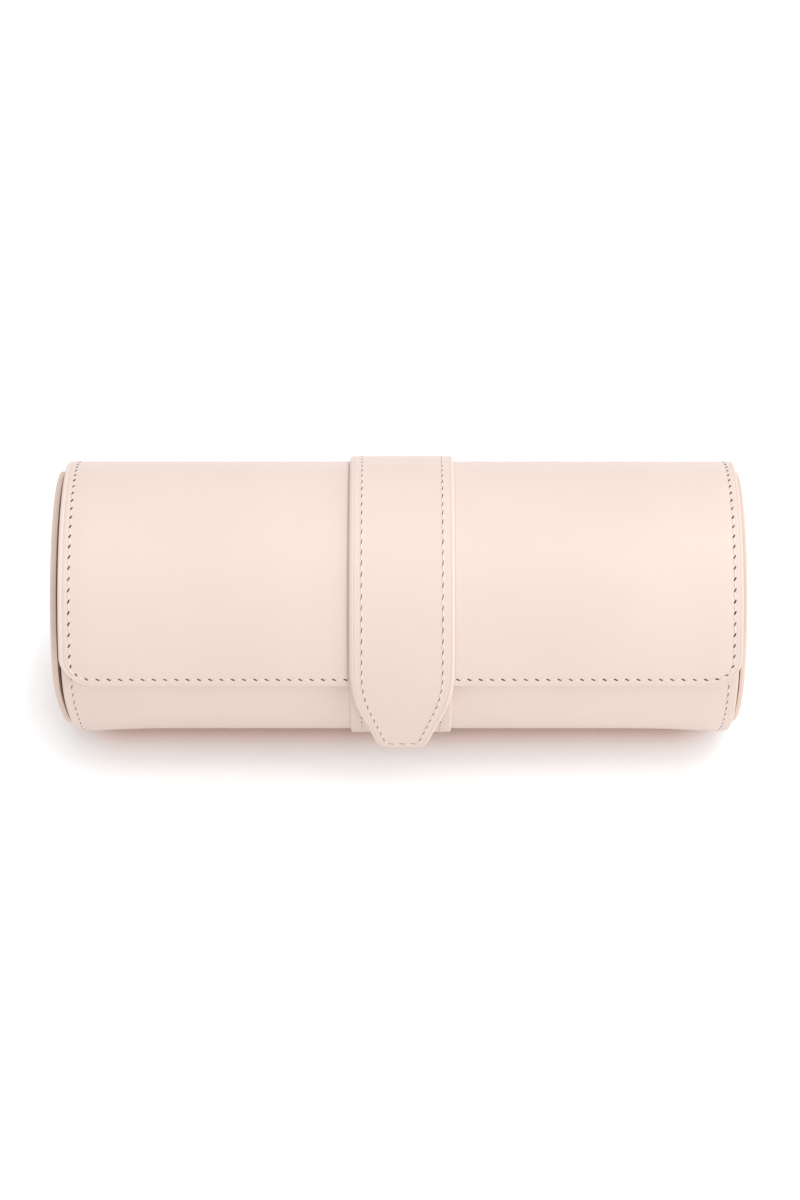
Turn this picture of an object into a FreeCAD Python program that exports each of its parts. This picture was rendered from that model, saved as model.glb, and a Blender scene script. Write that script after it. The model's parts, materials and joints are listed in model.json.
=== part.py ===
import FreeCAD, Part
import math
import os

import Sketcher
from FreeCAD import Placement, Rotation, Vector

# A travel roll for three wristwatches: a round leather tub that lies on its side, closed by a flap that
# folds over from the back and by one wide strap with a flat magnetic clasp under its tapered tip.
#
# The origin is the middle of the flat that the roll rests on. +X runs along the roll, the strap closes
# at the front (-Y), and +Z is up. Sizes are in millimetres.
# Angles are in degrees about the roll's own axis. They start at the front (0), pass the top (90) and
# reach the back (180), and an angle below the front is negative.

SIZES = (
    # The whole roll
    ("roll_length", 210.0),           # over the faces of both end covers
    ("body_radius", 42.0),            # to the outside of the tub's leather
    ("rest_flat_width", 26.0),        # width that the soft underside settles to
    ("lip_angle", 28.0),              # front edge of the tub, under the flap
    ("hinge_angle", 168.0),           # fold where the flap leaves the tub
    ("hinge_gap", 0.4),               # room between tub and flap along the fold
    ("glue_line", 0.05),              # between glued layers
    # Layers of the tub's wall
    ("body_leather_thick", 1.2),
    ("body_board_thick", 0.9),
    ("body_lining_thick", 0.6),
    ("body_board_inset", 3.0),        # board stops short of the sewn ends
    # Ends
    ("cover_proud", 2.25),            # rim of each end cover outside the wrap
    ("cover_depth", 8.0),             # face to the edge of the sewn flange
    ("cover_thick", 1.2),
    ("cover_edge_radius", 1.5),
    ("cover_fit", 0.05),              # flange to lining
    ("end_board_thick", 2.0),
    ("end_lining_thick", 0.6),
    # Dividers between the three bays
    ("divider_board_thick", 2.0),
    ("divider_suede_thick", 0.5),
    ("divider_clearance", 0.3),
    # Watch cushions
    ("cushion_end_radius", 23.2),
    ("cushion_crown_rise", 1.8),      # how far the middle swells beyond the ends
    ("cushion_suede_thick", 0.8),
    ("cushion_side_gap", 2.0),        # to the divider or the end on each side
    ("cushion_seat_gap", 0.3),        # to the lining's flat
    # Flap
    ("flap_leather_thick", 1.2),
    ("flap_board_thick", 0.4),
    ("flap_lining_thick", 0.5),
    ("flap_edge_angle", 8.0),         # front edge
    ("flap_trim_angle", 3.0),         # spare length that the front edge is trimmed from
    ("flap_corner_radius", 9.5),
    ("flap_clearance", 0.4),          # over the tub's lip
    # Strap
    ("strap_width", 33.0),
    ("strap_leather_thick", 0.7),
    ("strap_lining_thick", 0.75),
    ("strap_clearance", 0.15),        # over the flap
    ("strap_hinge_angle", 138.0),     # where the free strap leaves its sewn end
    ("anchor_end_angle", 160.0),      # far edge of the sewn end
    ("strap_straight_angle", -7.0),   # below this the strap runs straight to its tip
    ("strap_straight_length", 15.0),
    ("strap_taper_length", 24.0),
    ("strap_tip_width", 14.2),
    ("strap_tip_radius", 3.0),
    ("strap_shoulder_radius", 12.0),
    # Landing patch under the strap's tip
    ("patch_width", 31.0),
    ("patch_thick", 1.2),
    ("patch_top_angle", 4.0),
    ("patch_end_angle", -62.0),
    # Magnetic clasp
    ("clasp_diameter", 13.0),
    ("clasp_from_tip", 9.5),
    ("clasp_gap", 0.3),
    ("magnet_thick", 0.85),
    ("shank_diameter", 2.6),
    ("shank_clearance", 0.05),
    ("washer_diameter", 9.0),
    ("washer_thick", 0.35),
    ("washer_clearance", 0.1),
)

doc = FreeCAD.newDocument("watch_roll")
sheet = doc.addObject("Spreadsheet::Sheet", "Sizes")
for row, (alias, number) in enumerate(SIZES, start=1):
    sheet.set(f"A{row}", alias)
    sheet.set(f"B{row}", str(number))
    sheet.setAlias(f"B{row}", alias)
doc.recompute()

# Formulas that several pieces share. Heights and floors are measured from the roll's axis.
AXIS_HEIGHT = "sqrt(Sizes.body_radius ^ 2 - (Sizes.rest_flat_width / 2) ^ 2)"
BOARD_DEPTH = "(Sizes.body_leather_thick + Sizes.glue_line)"
LINING_DEPTH = f"({BOARD_DEPTH} + Sizes.body_board_thick + Sizes.glue_line)"
WALL = f"({LINING_DEPTH} + Sizes.body_lining_thick)"
WRAP_LENGTH = "(Sizes.roll_length - 2 * Sizes.cover_proud)"
HALF_HINGE_GAP = "(Sizes.hinge_gap / 2 / Sizes.body_radius * 180 / pi)"

COVER_RADIUS = f"(Sizes.body_radius - {WALL} - Sizes.cover_fit)"
COVER_FLOOR = f"({AXIS_HEIGHT} - {WALL} - Sizes.cover_fit)"
COVER_WALL = "(Sizes.cover_thick + Sizes.glue_line)"
END_BOARD_FACE = f"(Sizes.roll_length / 2 - {COVER_WALL})"
END_LINING_FACE = f"({END_BOARD_FACE} - Sizes.end_board_thick - Sizes.glue_line)"

DIVIDER_THICK = "(Sizes.divider_board_thick + 2 * Sizes.divider_suede_thick + 2 * Sizes.glue_line)"
BAY_LENGTH = f"((2 * ({END_LINING_FACE} - Sizes.end_lining_thick) - 2 * {DIVIDER_THICK}) / 3)"
BAY_STEP = f"({BAY_LENGTH} + {DIVIDER_THICK})"
CUSHION_LENGTH = f"({BAY_LENGTH} - 2 * Sizes.cushion_side_gap)"
CUSHION_CROWN = "(Sizes.cushion_end_radius + Sizes.cushion_crown_rise)"
CUSHION_HEIGHT = f"({WALL} + Sizes.cushion_seat_gap + {CUSHION_CROWN})"

# The flap is a circle that touches the tub's own circle at the fold and is larger by the offset, so that
# it rides over the tub's front lip. Its centre therefore lies off the roll's axis, away from the fold.
FLAP_BOARD_DEPTH = "(Sizes.flap_leather_thick + Sizes.glue_line)"
FLAP_LINING_DEPTH = f"({FLAP_BOARD_DEPTH} + Sizes.flap_board_thick + Sizes.glue_line)"
FLAP_STACK = f"({FLAP_LINING_DEPTH} + Sizes.flap_lining_thick)"
FLAP_OFFSET = f"(({FLAP_STACK} + Sizes.flap_clearance) / (1 - cos(Sizes.hinge_angle - Sizes.lip_angle)))"
FLAP_RADIUS = f"(Sizes.body_radius + {FLAP_OFFSET})"
FLAP_CENTRE_Y = f"({FLAP_OFFSET} * cos(Sizes.hinge_angle))"
FLAP_CENTRE_Z = f"({AXIS_HEIGHT} - {FLAP_OFFSET} * sin(Sizes.hinge_angle))"

STRAP_INSIDE = f"({FLAP_RADIUS} + Sizes.strap_clearance)"
STRAP_LEATHER_INSIDE = f"({STRAP_INSIDE} + Sizes.strap_lining_thick + Sizes.glue_line)"
STRAP_OUTSIDE = f"({STRAP_LEATHER_INSIDE} + Sizes.strap_leather_thick)"

PATCH_OUTSIDE = "(Sizes.body_radius + Sizes.patch_thick)"
CLASP_DOWN = "(Sizes.strap_straight_length - Sizes.clasp_from_tip)"
MAGNET_TOP = f"({STRAP_INSIDE} - Sizes.glue_line)"
MAGNET_FACE = f"({MAGNET_TOP} - Sizes.magnet_thick)"
PLATE_FACE = f"({MAGNET_FACE} - Sizes.clasp_gap)"

START, END, CENTRE = 1, 2, 3
ORIGIN = (-1, START)
HORIZONTAL_AXIS = -1
SKETCH_NORMAL = Vector(0, 0, 1)
ALONG_X = Rotation(Vector(0, 1, 0), 90)

sub_parts = []


def value(formula):
    """The number that a formula of the sheet gives now."""
    result = sheet.evalExpression(formula)
    return float(getattr(result, "Value", result))


def sub_part(piece, label):
    """Name a finished piece of the roll and list it for writing."""
    piece.Label = label
    sub_parts.append(piece)
    return piece


def place(piece, x="0", y="0", z="0"):
    """Bind a piece's position to formulas."""
    for axis, formula in zip("xyz", (x, y, z)):
        piece.setExpression(f"Placement.Base.{axis}", formula)


def on_roll_axis(piece, x="0"):
    """Put a piece drawn about the roll's axis at its height."""
    place(piece, x=x, z=AXIS_HEIGHT)


def on_flap_axis(piece):
    """Put a piece drawn about the flap's own centre in place."""
    place(piece, y=FLAP_CENTRE_Y, z=FLAP_CENTRE_Z)


def new_body(name):
    return doc.addObject("PartDesign::Body", f"{name}_body")


def new_sketch(body, role, name):
    """An empty sketch on one of the body's own origin planes."""
    sketch = body.newObject("Sketcher::SketchObject", f"{name}_sketch")
    plane = next(feature for feature in body.Origin.OriginFeatures if feature.Role == role)
    sketch.AttachmentSupport = [(plane, "")]
    sketch.MapMode = "FlatFace"
    return sketch


def dimension(sketch, formula, kind, *geometry):
    """A driving dimension of a sketch that follows a formula."""
    now = value(formula)
    is_angle = kind == "Angle"
    index = sketch.addConstraint(Sketcher.Constraint(kind, *geometry, math.radians(now) if is_angle else now))
    sketch.setExpression(f"Constraints[{index}]", f"({formula}) * 1 deg" if is_angle else formula)


def join(sketch, *pairs):
    """Make pairs of end points coincide."""
    for first, second in pairs:
        sketch.addConstraint(Sketcher.Constraint("Coincident", *first, *second))


def section_point(radius, angle):
    """A point of a cross-section, whose sketch runs from the front to the back and upwards."""
    turn = math.radians(180 - angle)
    return Vector(radius * math.cos(turn), radius * math.sin(turn), 0)


def add_arc(sketch, radius_formula, first, last):
    """An arc about the sketch's origin, counter-clockwise between two sketch angles in degrees."""
    circle = Part.Circle(Vector(), SKETCH_NORMAL, value(radius_formula))
    arc = sketch.addGeometry(Part.ArcOfCircle(circle, math.radians(first), math.radians(last)))
    join(sketch, ((arc, CENTRE), ORIGIN))
    dimension(sketch, radius_formula, "Radius", arc)
    return arc


def add_line(sketch, first, last):
    return sketch.addGeometry(Part.LineSegment(first, last))


def closed_lines(sketch, corners):
    """A closed outline of straight lines through the corners, in order."""
    following = corners[1:] + corners[:1]
    lines = [add_line(sketch, first, last) for first, last in zip(corners, following)]
    join(sketch, *[((first, END), (last, START)) for first, last in zip(lines, lines[1:] + lines[:1])])
    return lines


def add_radial_end(sketch, inner, outer, angle_formula):
    """The straight end of a curved layer, from its inside to its outside."""
    angle = value(angle_formula)
    line = add_line(sketch, section_point(value(inner), angle), section_point(value(outer), angle))
    sketch.addConstraint(Sketcher.Constraint("PointOnObject", *ORIGIN, line))
    dimension(sketch, f"180 - ({angle_formula})", "Angle", line)
    return line


def pad_profile(body, sketch, name, length, symmetric=False):
    pad = body.newObject("PartDesign::Pad", f"{name}_pad")
    pad.Profile = sketch
    pad.SideType = "Symmetric" if symmetric else "One side"
    pad.setExpression("Length", length)
    return pad


def fillet_edges(body, base, name, radius, is_wanted):
    """Round those edges of the body's last feature that the test picks."""
    doc.recompute()
    edges = [f"Edge{i}" for i, edge in enumerate(base.Shape.Edges, start=1) if is_wanted(edge)]
    fillet = body.newObject("PartDesign::Fillet", f"{name}_fillet")
    fillet.Base = (base, edges)
    fillet.setExpression("Radius", radius)
    return fillet


def sector_layer(name, inner, outer, front, back, width):
    """A curved layer between two radii and two angles, symmetric about the middle of the roll."""
    body = new_body(name)
    sketch = new_sketch(body, "YZ_Plane", name)
    sketch_span = (180 - value(back), 180 - value(front))
    inside = add_arc(sketch, inner, *sketch_span)
    outside = add_arc(sketch, outer, *sketch_span)
    back_end = add_radial_end(sketch, inner, outer, back)
    front_end = add_radial_end(sketch, inner, outer, front)
    join(sketch,
         ((back_end, START), (inside, START)), ((back_end, END), (outside, START)),
         ((front_end, START), (inside, END)), ((front_end, END), (outside, END)))
    pad_profile(body, sketch, name, width, symmetric=True)
    return body


def tub_side(sketch, radius, floor, back):
    """One skin of a tub layer: front arc, rest flat and back arc, in that order."""
    corner = math.degrees(math.acos(value(floor) / value(radius)))
    front_arc = add_arc(sketch, radius, 180 - value("Sizes.lip_angle"), 270 - corner)
    back_arc = add_arc(sketch, radius, 270 + corner, 540 - value(back))
    depth = -value(floor)
    half = value(radius) * math.sin(math.radians(corner))
    flat = add_line(sketch, Vector(-half, depth, 0), Vector(half, depth, 0))
    join(sketch, ((front_arc, END), (flat, START)), ((flat, END), (back_arc, START)))
    sketch.addConstraint(Sketcher.Constraint("Horizontal", flat))
    dimension(sketch, floor, "DistanceY", flat, START, *ORIGIN)
    return front_arc, back_arc


def tub_layer(name, depth, thick, length):
    """One layer of the tub's wall, a given depth below the outside of the leather."""
    outer, inner = f"(Sizes.body_radius - {depth})", f"(Sizes.body_radius - {depth} - {thick})"
    outer_floor, inner_floor = f"({AXIS_HEIGHT} - {depth})", f"({AXIS_HEIGHT} - {depth} - {thick})"
    back = f"(Sizes.hinge_angle + {HALF_HINGE_GAP})"
    body = new_body(name)
    sketch = new_sketch(body, "YZ_Plane", name)
    outer_front, outer_back = tub_side(sketch, outer, outer_floor, back)
    inner_front, inner_back = tub_side(sketch, inner, inner_floor, back)
    lip = add_radial_end(sketch, inner, outer, "Sizes.lip_angle")
    fold = add_radial_end(sketch, inner, outer, back)
    join(sketch,
         ((lip, START), (inner_front, START)), ((lip, END), (outer_front, START)),
         ((fold, START), (inner_back, END)), ((fold, END), (outer_back, END)))
    pad_profile(body, sketch, name, length, symmetric=True)
    on_roll_axis(body)
    return body


def draw_disc(sketch, radius, floor):
    """A round outline about the roll's axis, cut level at the floor."""
    dip = math.degrees(math.asin(value(floor) / value(radius)))
    arc = add_arc(sketch, radius, -dip, 180 + dip)
    half = value(radius) * math.cos(math.radians(dip))
    flat = add_line(sketch, Vector(-half, -value(floor), 0), Vector(half, -value(floor), 0))
    join(sketch, ((arc, END), (flat, START)), ((flat, END), (arc, START)))
    sketch.addConstraint(Sketcher.Constraint("Horizontal", flat))
    dimension(sketch, floor, "DistanceY", flat, START, *ORIGIN)


def disc(name, side, radius, floor, thick, far_face):
    """An upright disc whose outer face lies a given distance from the middle, on the left or right."""
    body = new_body(name)
    sketch = new_sketch(body, "YZ_Plane", name)
    draw_disc(sketch, radius, floor)
    pad_profile(body, sketch, name, thick)
    if side < 0:
        body.Placement = Placement(Vector(), Rotation(Vector(0, 0, 1), 180))
    on_roll_axis(body, x=f"{side} * ({far_face} - {thick})")
    return body


def end_cover(name, side):
    """A leather cup: a disc with a sewn flange that reaches into the wrap and a rounded outer edge."""
    depth = "Sizes.cover_depth"
    body = disc(name, side, COVER_RADIUS, COVER_FLOOR, depth, "(Sizes.roll_length / 2)")
    doc.recompute()
    full_volume = body.Shape.Volume
    hollow = new_sketch(body, "YZ_Plane", f"{name}_hollow")
    draw_disc(hollow, f"({COVER_RADIUS} - Sizes.cover_thick)", f"({COVER_FLOOR} - Sizes.cover_thick)")
    pocket = body.newObject("PartDesign::Pocket", f"{name}_pocket")
    pocket.Profile = hollow
    pocket.Reversed = True
    pocket.setExpression("Length", f"{depth} - Sizes.cover_thick")
    doc.recompute()
    if pocket.Shape.Volume > 0.9 * full_volume:
        raise RuntimeError(f"{name}: the hollow cut nothing")
    face_x = value(depth)
    fillet_edges(body, pocket, name, "Sizes.cover_edge_radius",
                 lambda edge: min(v.X for v in edge.Vertexes) > face_x - 0.001)
    return body


def crown_curve(sketch, half_length, end_radius):
    """The bulged side of a cushion, as an arc from its right end over the middle to its left end."""
    rise = "Sizes.cushion_crown_rise"
    bulge = f"(({half_length} ^ 2 + {rise} ^ 2) / (2 * {rise}))"
    centre_y = value(end_radius) + value(rise) - value(bulge)
    lean = math.asin(value(half_length) / value(bulge))
    circle = Part.Circle(Vector(0, centre_y, 0), SKETCH_NORMAL, value(bulge))
    arc = sketch.addGeometry(Part.ArcOfCircle(circle, math.pi / 2 - lean, math.pi / 2 + lean))
    dimension(sketch, bulge, "Radius", arc)
    dimension(sketch, half_length, "DistanceX", *ORIGIN, arc, START)
    dimension(sketch, half_length, "DistanceX", arc, END, *ORIGIN)
    dimension(sketch, end_radius, "DistanceY", *ORIGIN, arc, START)
    dimension(sketch, end_radius, "DistanceY", *ORIGIN, arc, END)
    return arc


def revolve_profile(body, sketch, name):
    revolution = body.newObject("PartDesign::Revolution", f"{name}_revolution")
    revolution.Profile = sketch
    revolution.ReferenceAxis = (sketch, ["H_Axis"])
    revolution.Angle = 360
    return revolution


def cushion_core(name, half_length, end_radius):
    """The foam of a cushion: a barrel with a gentle crown."""
    body = new_body(name)
    sketch = new_sketch(body, "XY_Plane", name)
    crown = crown_curve(sketch, half_length, end_radius)
    half, radius = value(half_length), value(end_radius)
    right = add_line(sketch, Vector(half, 0, 0), Vector(half, radius, 0))
    left = add_line(sketch, Vector(-half, radius, 0), Vector(-half, 0, 0))
    middle = add_line(sketch, Vector(-half, 0, 0), Vector(half, 0, 0))
    join(sketch,
         ((right, END), (crown, START)), ((crown, END), (left, START)),
         ((left, END), (middle, START)), ((middle, END), (right, START)))
    for upright in (right, left):
        sketch.addConstraint(Sketcher.Constraint("Vertical", upright))
    sketch.addConstraint(Sketcher.Constraint("PointOnObject", middle, START, HORIZONTAL_AXIS))
    sketch.addConstraint(Sketcher.Constraint("PointOnObject", middle, END, HORIZONTAL_AXIS))
    revolve_profile(body, sketch, name)
    return body


def cushion_sleeve(name, half_length):
    """The suede sleeve that is sewn round a cushion's foam."""
    suede = "Sizes.cushion_suede_thick"
    body = new_body(name)
    sketch = new_sketch(body, "XY_Plane", name)
    outside = crown_curve(sketch, half_length, "Sizes.cushion_end_radius")
    inside = crown_curve(sketch, half_length, f"(Sizes.cushion_end_radius - {suede})")
    half, radius = value(half_length), value("Sizes.cushion_end_radius")
    under = radius - value(suede)
    right = add_line(sketch, Vector(half, under, 0), Vector(half, radius, 0))
    left = add_line(sketch, Vector(-half, under, 0), Vector(-half, radius, 0))
    join(sketch,
         ((right, START), (inside, START)), ((right, END), (outside, START)),
         ((left, START), (inside, END)), ((left, END), (outside, END)))
    revolve_profile(body, sketch, name)
    return body


def cylinder(name, radius, height, rotation=Rotation()):
    tool = doc.addObject("Part::Cylinder", name)
    tool.setExpression("Radius", radius)
    tool.setExpression("Height", height)
    tool.Placement = Placement(Vector(), rotation)
    return tool


def boolean(kind, name, base, tool):
    result = doc.addObject(f"Part::{kind}", name)
    result.Base = base
    result.Tool = tool
    return result


def cushion(name, x):
    """One removable cushion: foam, sleeve and two end panels, lying on the lining's flat."""
    half = f"({CUSHION_LENGTH} / 2)"
    inside = "(Sizes.cushion_suede_thick + Sizes.glue_line)"
    foam_half = f"({half} - {inside})"
    core = cushion_core(f"{name}_core", foam_half, f"(Sizes.cushion_end_radius - {inside})")
    sleeve = cushion_sleeve(f"{name}_sleeve", half)
    for piece in (core, sleeve):
        place(piece, x=x, z=CUSHION_HEIGHT)
    panels = []
    for side, start in (("left", f"{x} - {half}"), ("right", f"{x} + {half} - Sizes.cushion_suede_thick")):
        panel = cylinder(f"{name}_{side}_panel", f"Sizes.cushion_end_radius - {inside}",
                         "Sizes.cushion_suede_thick", ALONG_X)
        place(panel, x=start, z=CUSHION_HEIGHT)
        panels.append(panel)
    ends = doc.addObject("Part::Compound", f"{name}_panels")
    ends.Links = panels
    sub_part(core, f"{name}_core")
    sub_part(sleeve, f"{name}_sleeve")
    sub_part(ends, f"{name}_ends")


def divider(name, side):
    """A partition: a board with a suede face on each side."""
    radius = f"(Sizes.body_radius - {WALL} - Sizes.divider_clearance)"
    floor = f"({AXIS_HEIGHT} - {WALL} - Sizes.divider_clearance)"
    suede = "Sizes.divider_suede_thick"
    far_face = f"({BAY_LENGTH} / 2 + {DIVIDER_THICK})"
    board_face = f"({far_face} - {suede} - Sizes.glue_line)"
    near_suede = f"({board_face} - Sizes.divider_board_thick - Sizes.glue_line)"
    board = disc(f"{name}_board", side, radius, floor, "Sizes.divider_board_thick", board_face)
    faces = doc.addObject("Part::Compound", f"{name}_faces")
    faces.Links = [disc(f"{name}_far_suede", side, radius, floor, suede, far_face),
                   disc(f"{name}_near_suede", side, radius, floor, suede, near_suede)]
    sub_part(board, f"{name}_board")
    sub_part(faces, f"{name}_suede")


def corner_edge_at(height):
    """A test for the edges of an outline block that run through it at a given height."""
    def is_corner(edge):
        level = all(abs(vertex.Z - height) < 0.001 for vertex in edge.Vertexes)
        return level and abs(edge.Vertexes[0].X - edge.Vertexes[-1].X) < 0.001
    return is_corner


def turn_about_flap(body, angle):
    """Face an outline block squarely at an angle of the flap's circle."""
    body.Placement = Placement(Vector(), Rotation(Vector(1, 0, 0), 1))
    body.setExpression("Placement.Rotation.Angle", f"-{angle} * 1 deg")
    on_flap_axis(body)


def flap_outline():
    """The flap's front view with its two rounded corners, as a deep block to cut layers from."""
    body = new_body("flap_outline")
    sketch = new_sketch(body, "XZ_Plane", "flap_outline")
    half, top = value(WRAP_LENGTH) / 2, value(f"2 * {FLAP_RADIUS}")
    corners = [Vector(-half, 0, 0), Vector(half, 0, 0), Vector(half, top, 0), Vector(-half, top, 0)]
    edge, right_side, head, left_side = closed_lines(sketch, corners)
    for level in (edge, head):
        sketch.addConstraint(Sketcher.Constraint("Horizontal", level))
    for upright in (right_side, left_side):
        sketch.addConstraint(Sketcher.Constraint("Vertical", upright))
    sketch.addConstraint(Sketcher.Constraint("PointOnObject", edge, START, HORIZONTAL_AXIS))
    dimension(sketch, f"{WRAP_LENGTH} / 2", "DistanceX", edge, START, *ORIGIN)
    dimension(sketch, f"{WRAP_LENGTH} / 2", "DistanceX", *ORIGIN, edge, END)
    dimension(sketch, f"2 * {FLAP_RADIUS}", "DistanceY", *ORIGIN, head, START)
    pad = pad_profile(body, sketch, "flap_outline", f"3 * {FLAP_RADIUS}", symmetric=True)
    fillet_edges(body, pad, "flap_corner", "Sizes.flap_corner_radius", corner_edge_at(0))
    turn_about_flap(body, "Sizes.flap_edge_angle")
    return body


def flap_layer(name, outline, depth, thick):
    """One layer of the flap, from the fold over the top to its front edge."""
    outer, inner = f"({FLAP_RADIUS} - {depth})", f"({FLAP_RADIUS} - {depth} - {thick})"
    front = "(Sizes.flap_edge_angle - Sizes.flap_trim_angle)"
    back = f"(Sizes.hinge_angle - {HALF_HINGE_GAP})"
    body = sector_layer(name, inner, outer, front, back, WRAP_LENGTH)
    on_flap_axis(body)
    return boolean("Common", f"{name}_cut", body, outline)


def strap_sweep(name, inner, outer):
    """The strap's side view: an arc over the flap, then a straight run to the tip."""
    body = new_body(name)
    sketch = new_sketch(body, "YZ_Plane", name)
    turn = value("Sizes.strap_straight_angle")
    span = (180 - value("Sizes.strap_hinge_angle"), 180 - turn)
    inside = add_arc(sketch, inner, *span)
    outside = add_arc(sketch, outer, *span)
    back_end = add_radial_end(sketch, inner, outer, "Sizes.strap_hinge_angle")
    down = section_point(value("Sizes.strap_straight_length"), turn - 90)
    runs = []
    for arc, radius in ((inside, inner), (outside, outer)):
        corner = section_point(value(radius), turn)
        run = add_line(sketch, corner + down, corner)
        join(sketch, ((run, END), (arc, END)))
        dimension(sketch, "90 - Sizes.strap_straight_angle", "Angle", run)
        dimension(sketch, "Sizes.strap_straight_length", "Distance", run)
        runs.append(run)
    tip = add_line(sketch, section_point(value(inner), turn) + down, section_point(value(outer), turn) + down)
    join(sketch,
         ((back_end, START), (inside, START)), ((back_end, END), (outside, START)),
         ((tip, START), (runs[0], START)), ((tip, END), (runs[1], START)))
    sketch.addConstraint(Sketcher.Constraint("Perpendicular", tip, runs[0]))
    pad_profile(body, sketch, name, "Sizes.strap_width", symmetric=True)
    on_flap_axis(body)
    return body


def strap_outline():
    """The strap's front view, from its narrow tip up past its hinge, as a deep block to cut layers from."""
    body = new_body("strap_outline")
    sketch = new_sketch(body, "XZ_Plane", "strap_outline")
    half, tip = value("Sizes.strap_width") / 2, value("Sizes.strap_tip_width") / 2
    bottom = -value("Sizes.strap_straight_length")
    shoulder = bottom + value("Sizes.strap_taper_length")
    top = value(f"2 * {STRAP_OUTSIDE}")
    corners = [Vector(-tip, bottom, 0), Vector(tip, bottom, 0), Vector(half, shoulder, 0),
               Vector(half, top, 0), Vector(-half, top, 0), Vector(-half, shoulder, 0)]
    foot, right_taper, right_side, head, left_side, left_taper = closed_lines(sketch, corners)
    for level in (foot, head):
        sketch.addConstraint(Sketcher.Constraint("Horizontal", level))
    for upright in (right_side, left_side):
        sketch.addConstraint(Sketcher.Constraint("Vertical", upright))
    dimension(sketch, "Sizes.strap_tip_width / 2", "DistanceX", foot, START, *ORIGIN)
    dimension(sketch, "Sizes.strap_tip_width / 2", "DistanceX", *ORIGIN, foot, END)
    dimension(sketch, "Sizes.strap_width / 2", "DistanceX", *ORIGIN, right_side, START)
    dimension(sketch, "Sizes.strap_width / 2", "DistanceX", left_side, START, *ORIGIN)
    dimension(sketch, "Sizes.strap_straight_length", "DistanceY", foot, START, *ORIGIN)
    dimension(sketch, "Sizes.strap_taper_length", "DistanceY", foot, END, right_side, START)
    dimension(sketch, "Sizes.strap_taper_length", "DistanceY", foot, START, left_side, END)
    dimension(sketch, f"2 * {STRAP_OUTSIDE}", "DistanceY", *ORIGIN, head, START)
    pad = pad_profile(body, sketch, "strap_outline", f"3 * {STRAP_OUTSIDE}", symmetric=True)

    tip_fillet = fillet_edges(body, pad, "strap_tip", "Sizes.strap_tip_radius", corner_edge_at(bottom))
    fillet_edges(body, tip_fillet, "strap_shoulder", "Sizes.strap_shoulder_radius", corner_edge_at(shoulder))
    turn_about_flap(body, "Sizes.strap_straight_angle")
    return body


def clasp_pin(name, radius, near, far):
    """A round piece on the clasp's line, between two distances from the flap's centre."""
    turn = "Sizes.strap_straight_angle"
    pin = cylinder(name, radius, f"{far} - {near}", Rotation(Vector(1, 0, 0), 90))
    pin.setExpression("Placement.Rotation.Angle", f"(90 - {turn}) * 1 deg")
    place(pin,
          y=f"{FLAP_CENTRE_Y} - {CLASP_DOWN} * sin({turn}) - {near} * cos({turn})",
          z=f"{FLAP_CENTRE_Z} - {CLASP_DOWN} * cos({turn}) + {near} * sin({turn})")
    return pin


def body_round(name, radius):
    """A full round bar about the roll's axis, to shape what sits on or in the tub's wall."""
    bar = cylinder(name, radius, WRAP_LENGTH, ALONG_X)
    on_roll_axis(bar, x=f"-{WRAP_LENGTH} / 2")
    return bar


# Ends of the roll
for name, side in (("left", -1), ("right", 1)):
    inside_radius = f"({COVER_RADIUS} - {COVER_WALL})"
    inside_floor = f"({COVER_FLOOR} - {COVER_WALL})"
    sub_part(end_cover(f"{name}_end_cover", side), f"{name}_end_cover")
    sub_part(disc(f"{name}_end_board", side, inside_radius, inside_floor,
                  "Sizes.end_board_thick", END_BOARD_FACE), f"{name}_end_board")
    sub_part(disc(f"{name}_end_lining", side, inside_radius, inside_floor,
                  "Sizes.end_lining_thick", END_LINING_FACE), f"{name}_end_lining")
    divider(f"{name}_divider", side)

# Cushions, one in each bay
for name, step in (("left", -1), ("middle", 0), ("right", 1)):
    cushion(f"{name}_cushion", f"({step} * {BAY_STEP})")

# The clasp's half on the tub: a plate seated on the patch, its shank and the washer behind the leather
PLATE_RADIUS = "Sizes.clasp_diameter / 2"
SHANK_RADIUS = "Sizes.shank_diameter / 2"
SHANK_HOLE = "(Sizes.shank_diameter / 2 + Sizes.shank_clearance)"
WASHER_RADIUS = "Sizes.washer_diameter / 2"
WASHER_HOLE = "(Sizes.washer_diameter / 2 + Sizes.washer_clearance)"
WASHER_OUTSIDE = f"(Sizes.body_radius - {BOARD_DEPTH})"
WASHER_INSIDE = f"({WASHER_OUTSIDE} - Sizes.washer_thick)"

plate_disc = boolean("Cut", "plate_disc", clasp_pin("plate_pin", PLATE_RADIUS, "0", PLATE_FACE),
                     body_round("patch_outside", f"{PATCH_OUTSIDE} + Sizes.glue_line"))
plate_shank = boolean("Cut", "plate_shank",
                      clasp_pin("shank_pin", SHANK_RADIUS, "0", f"({PLATE_FACE} - Sizes.clasp_gap)"),
                      body_round("shank_end", WASHER_INSIDE))
sub_part(boolean("Fuse", "plate_with_shank", plate_disc, plate_shank), "clasp_plate")

washer_blank = boolean("Cut", "washer_blank", body_round("washer_outside", WASHER_OUTSIDE),
                       body_round("washer_inside", WASHER_INSIDE))
washer_round = boolean("Common", "washer_round", washer_blank,
                       clasp_pin("washer_pin", WASHER_RADIUS, "0", PLATE_FACE))
sub_part(boolean("Cut", "plate_washer", washer_round,
                 clasp_pin("washer_hole", SHANK_HOLE, "0", PLATE_FACE)), "clasp_plate_washer")

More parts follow.
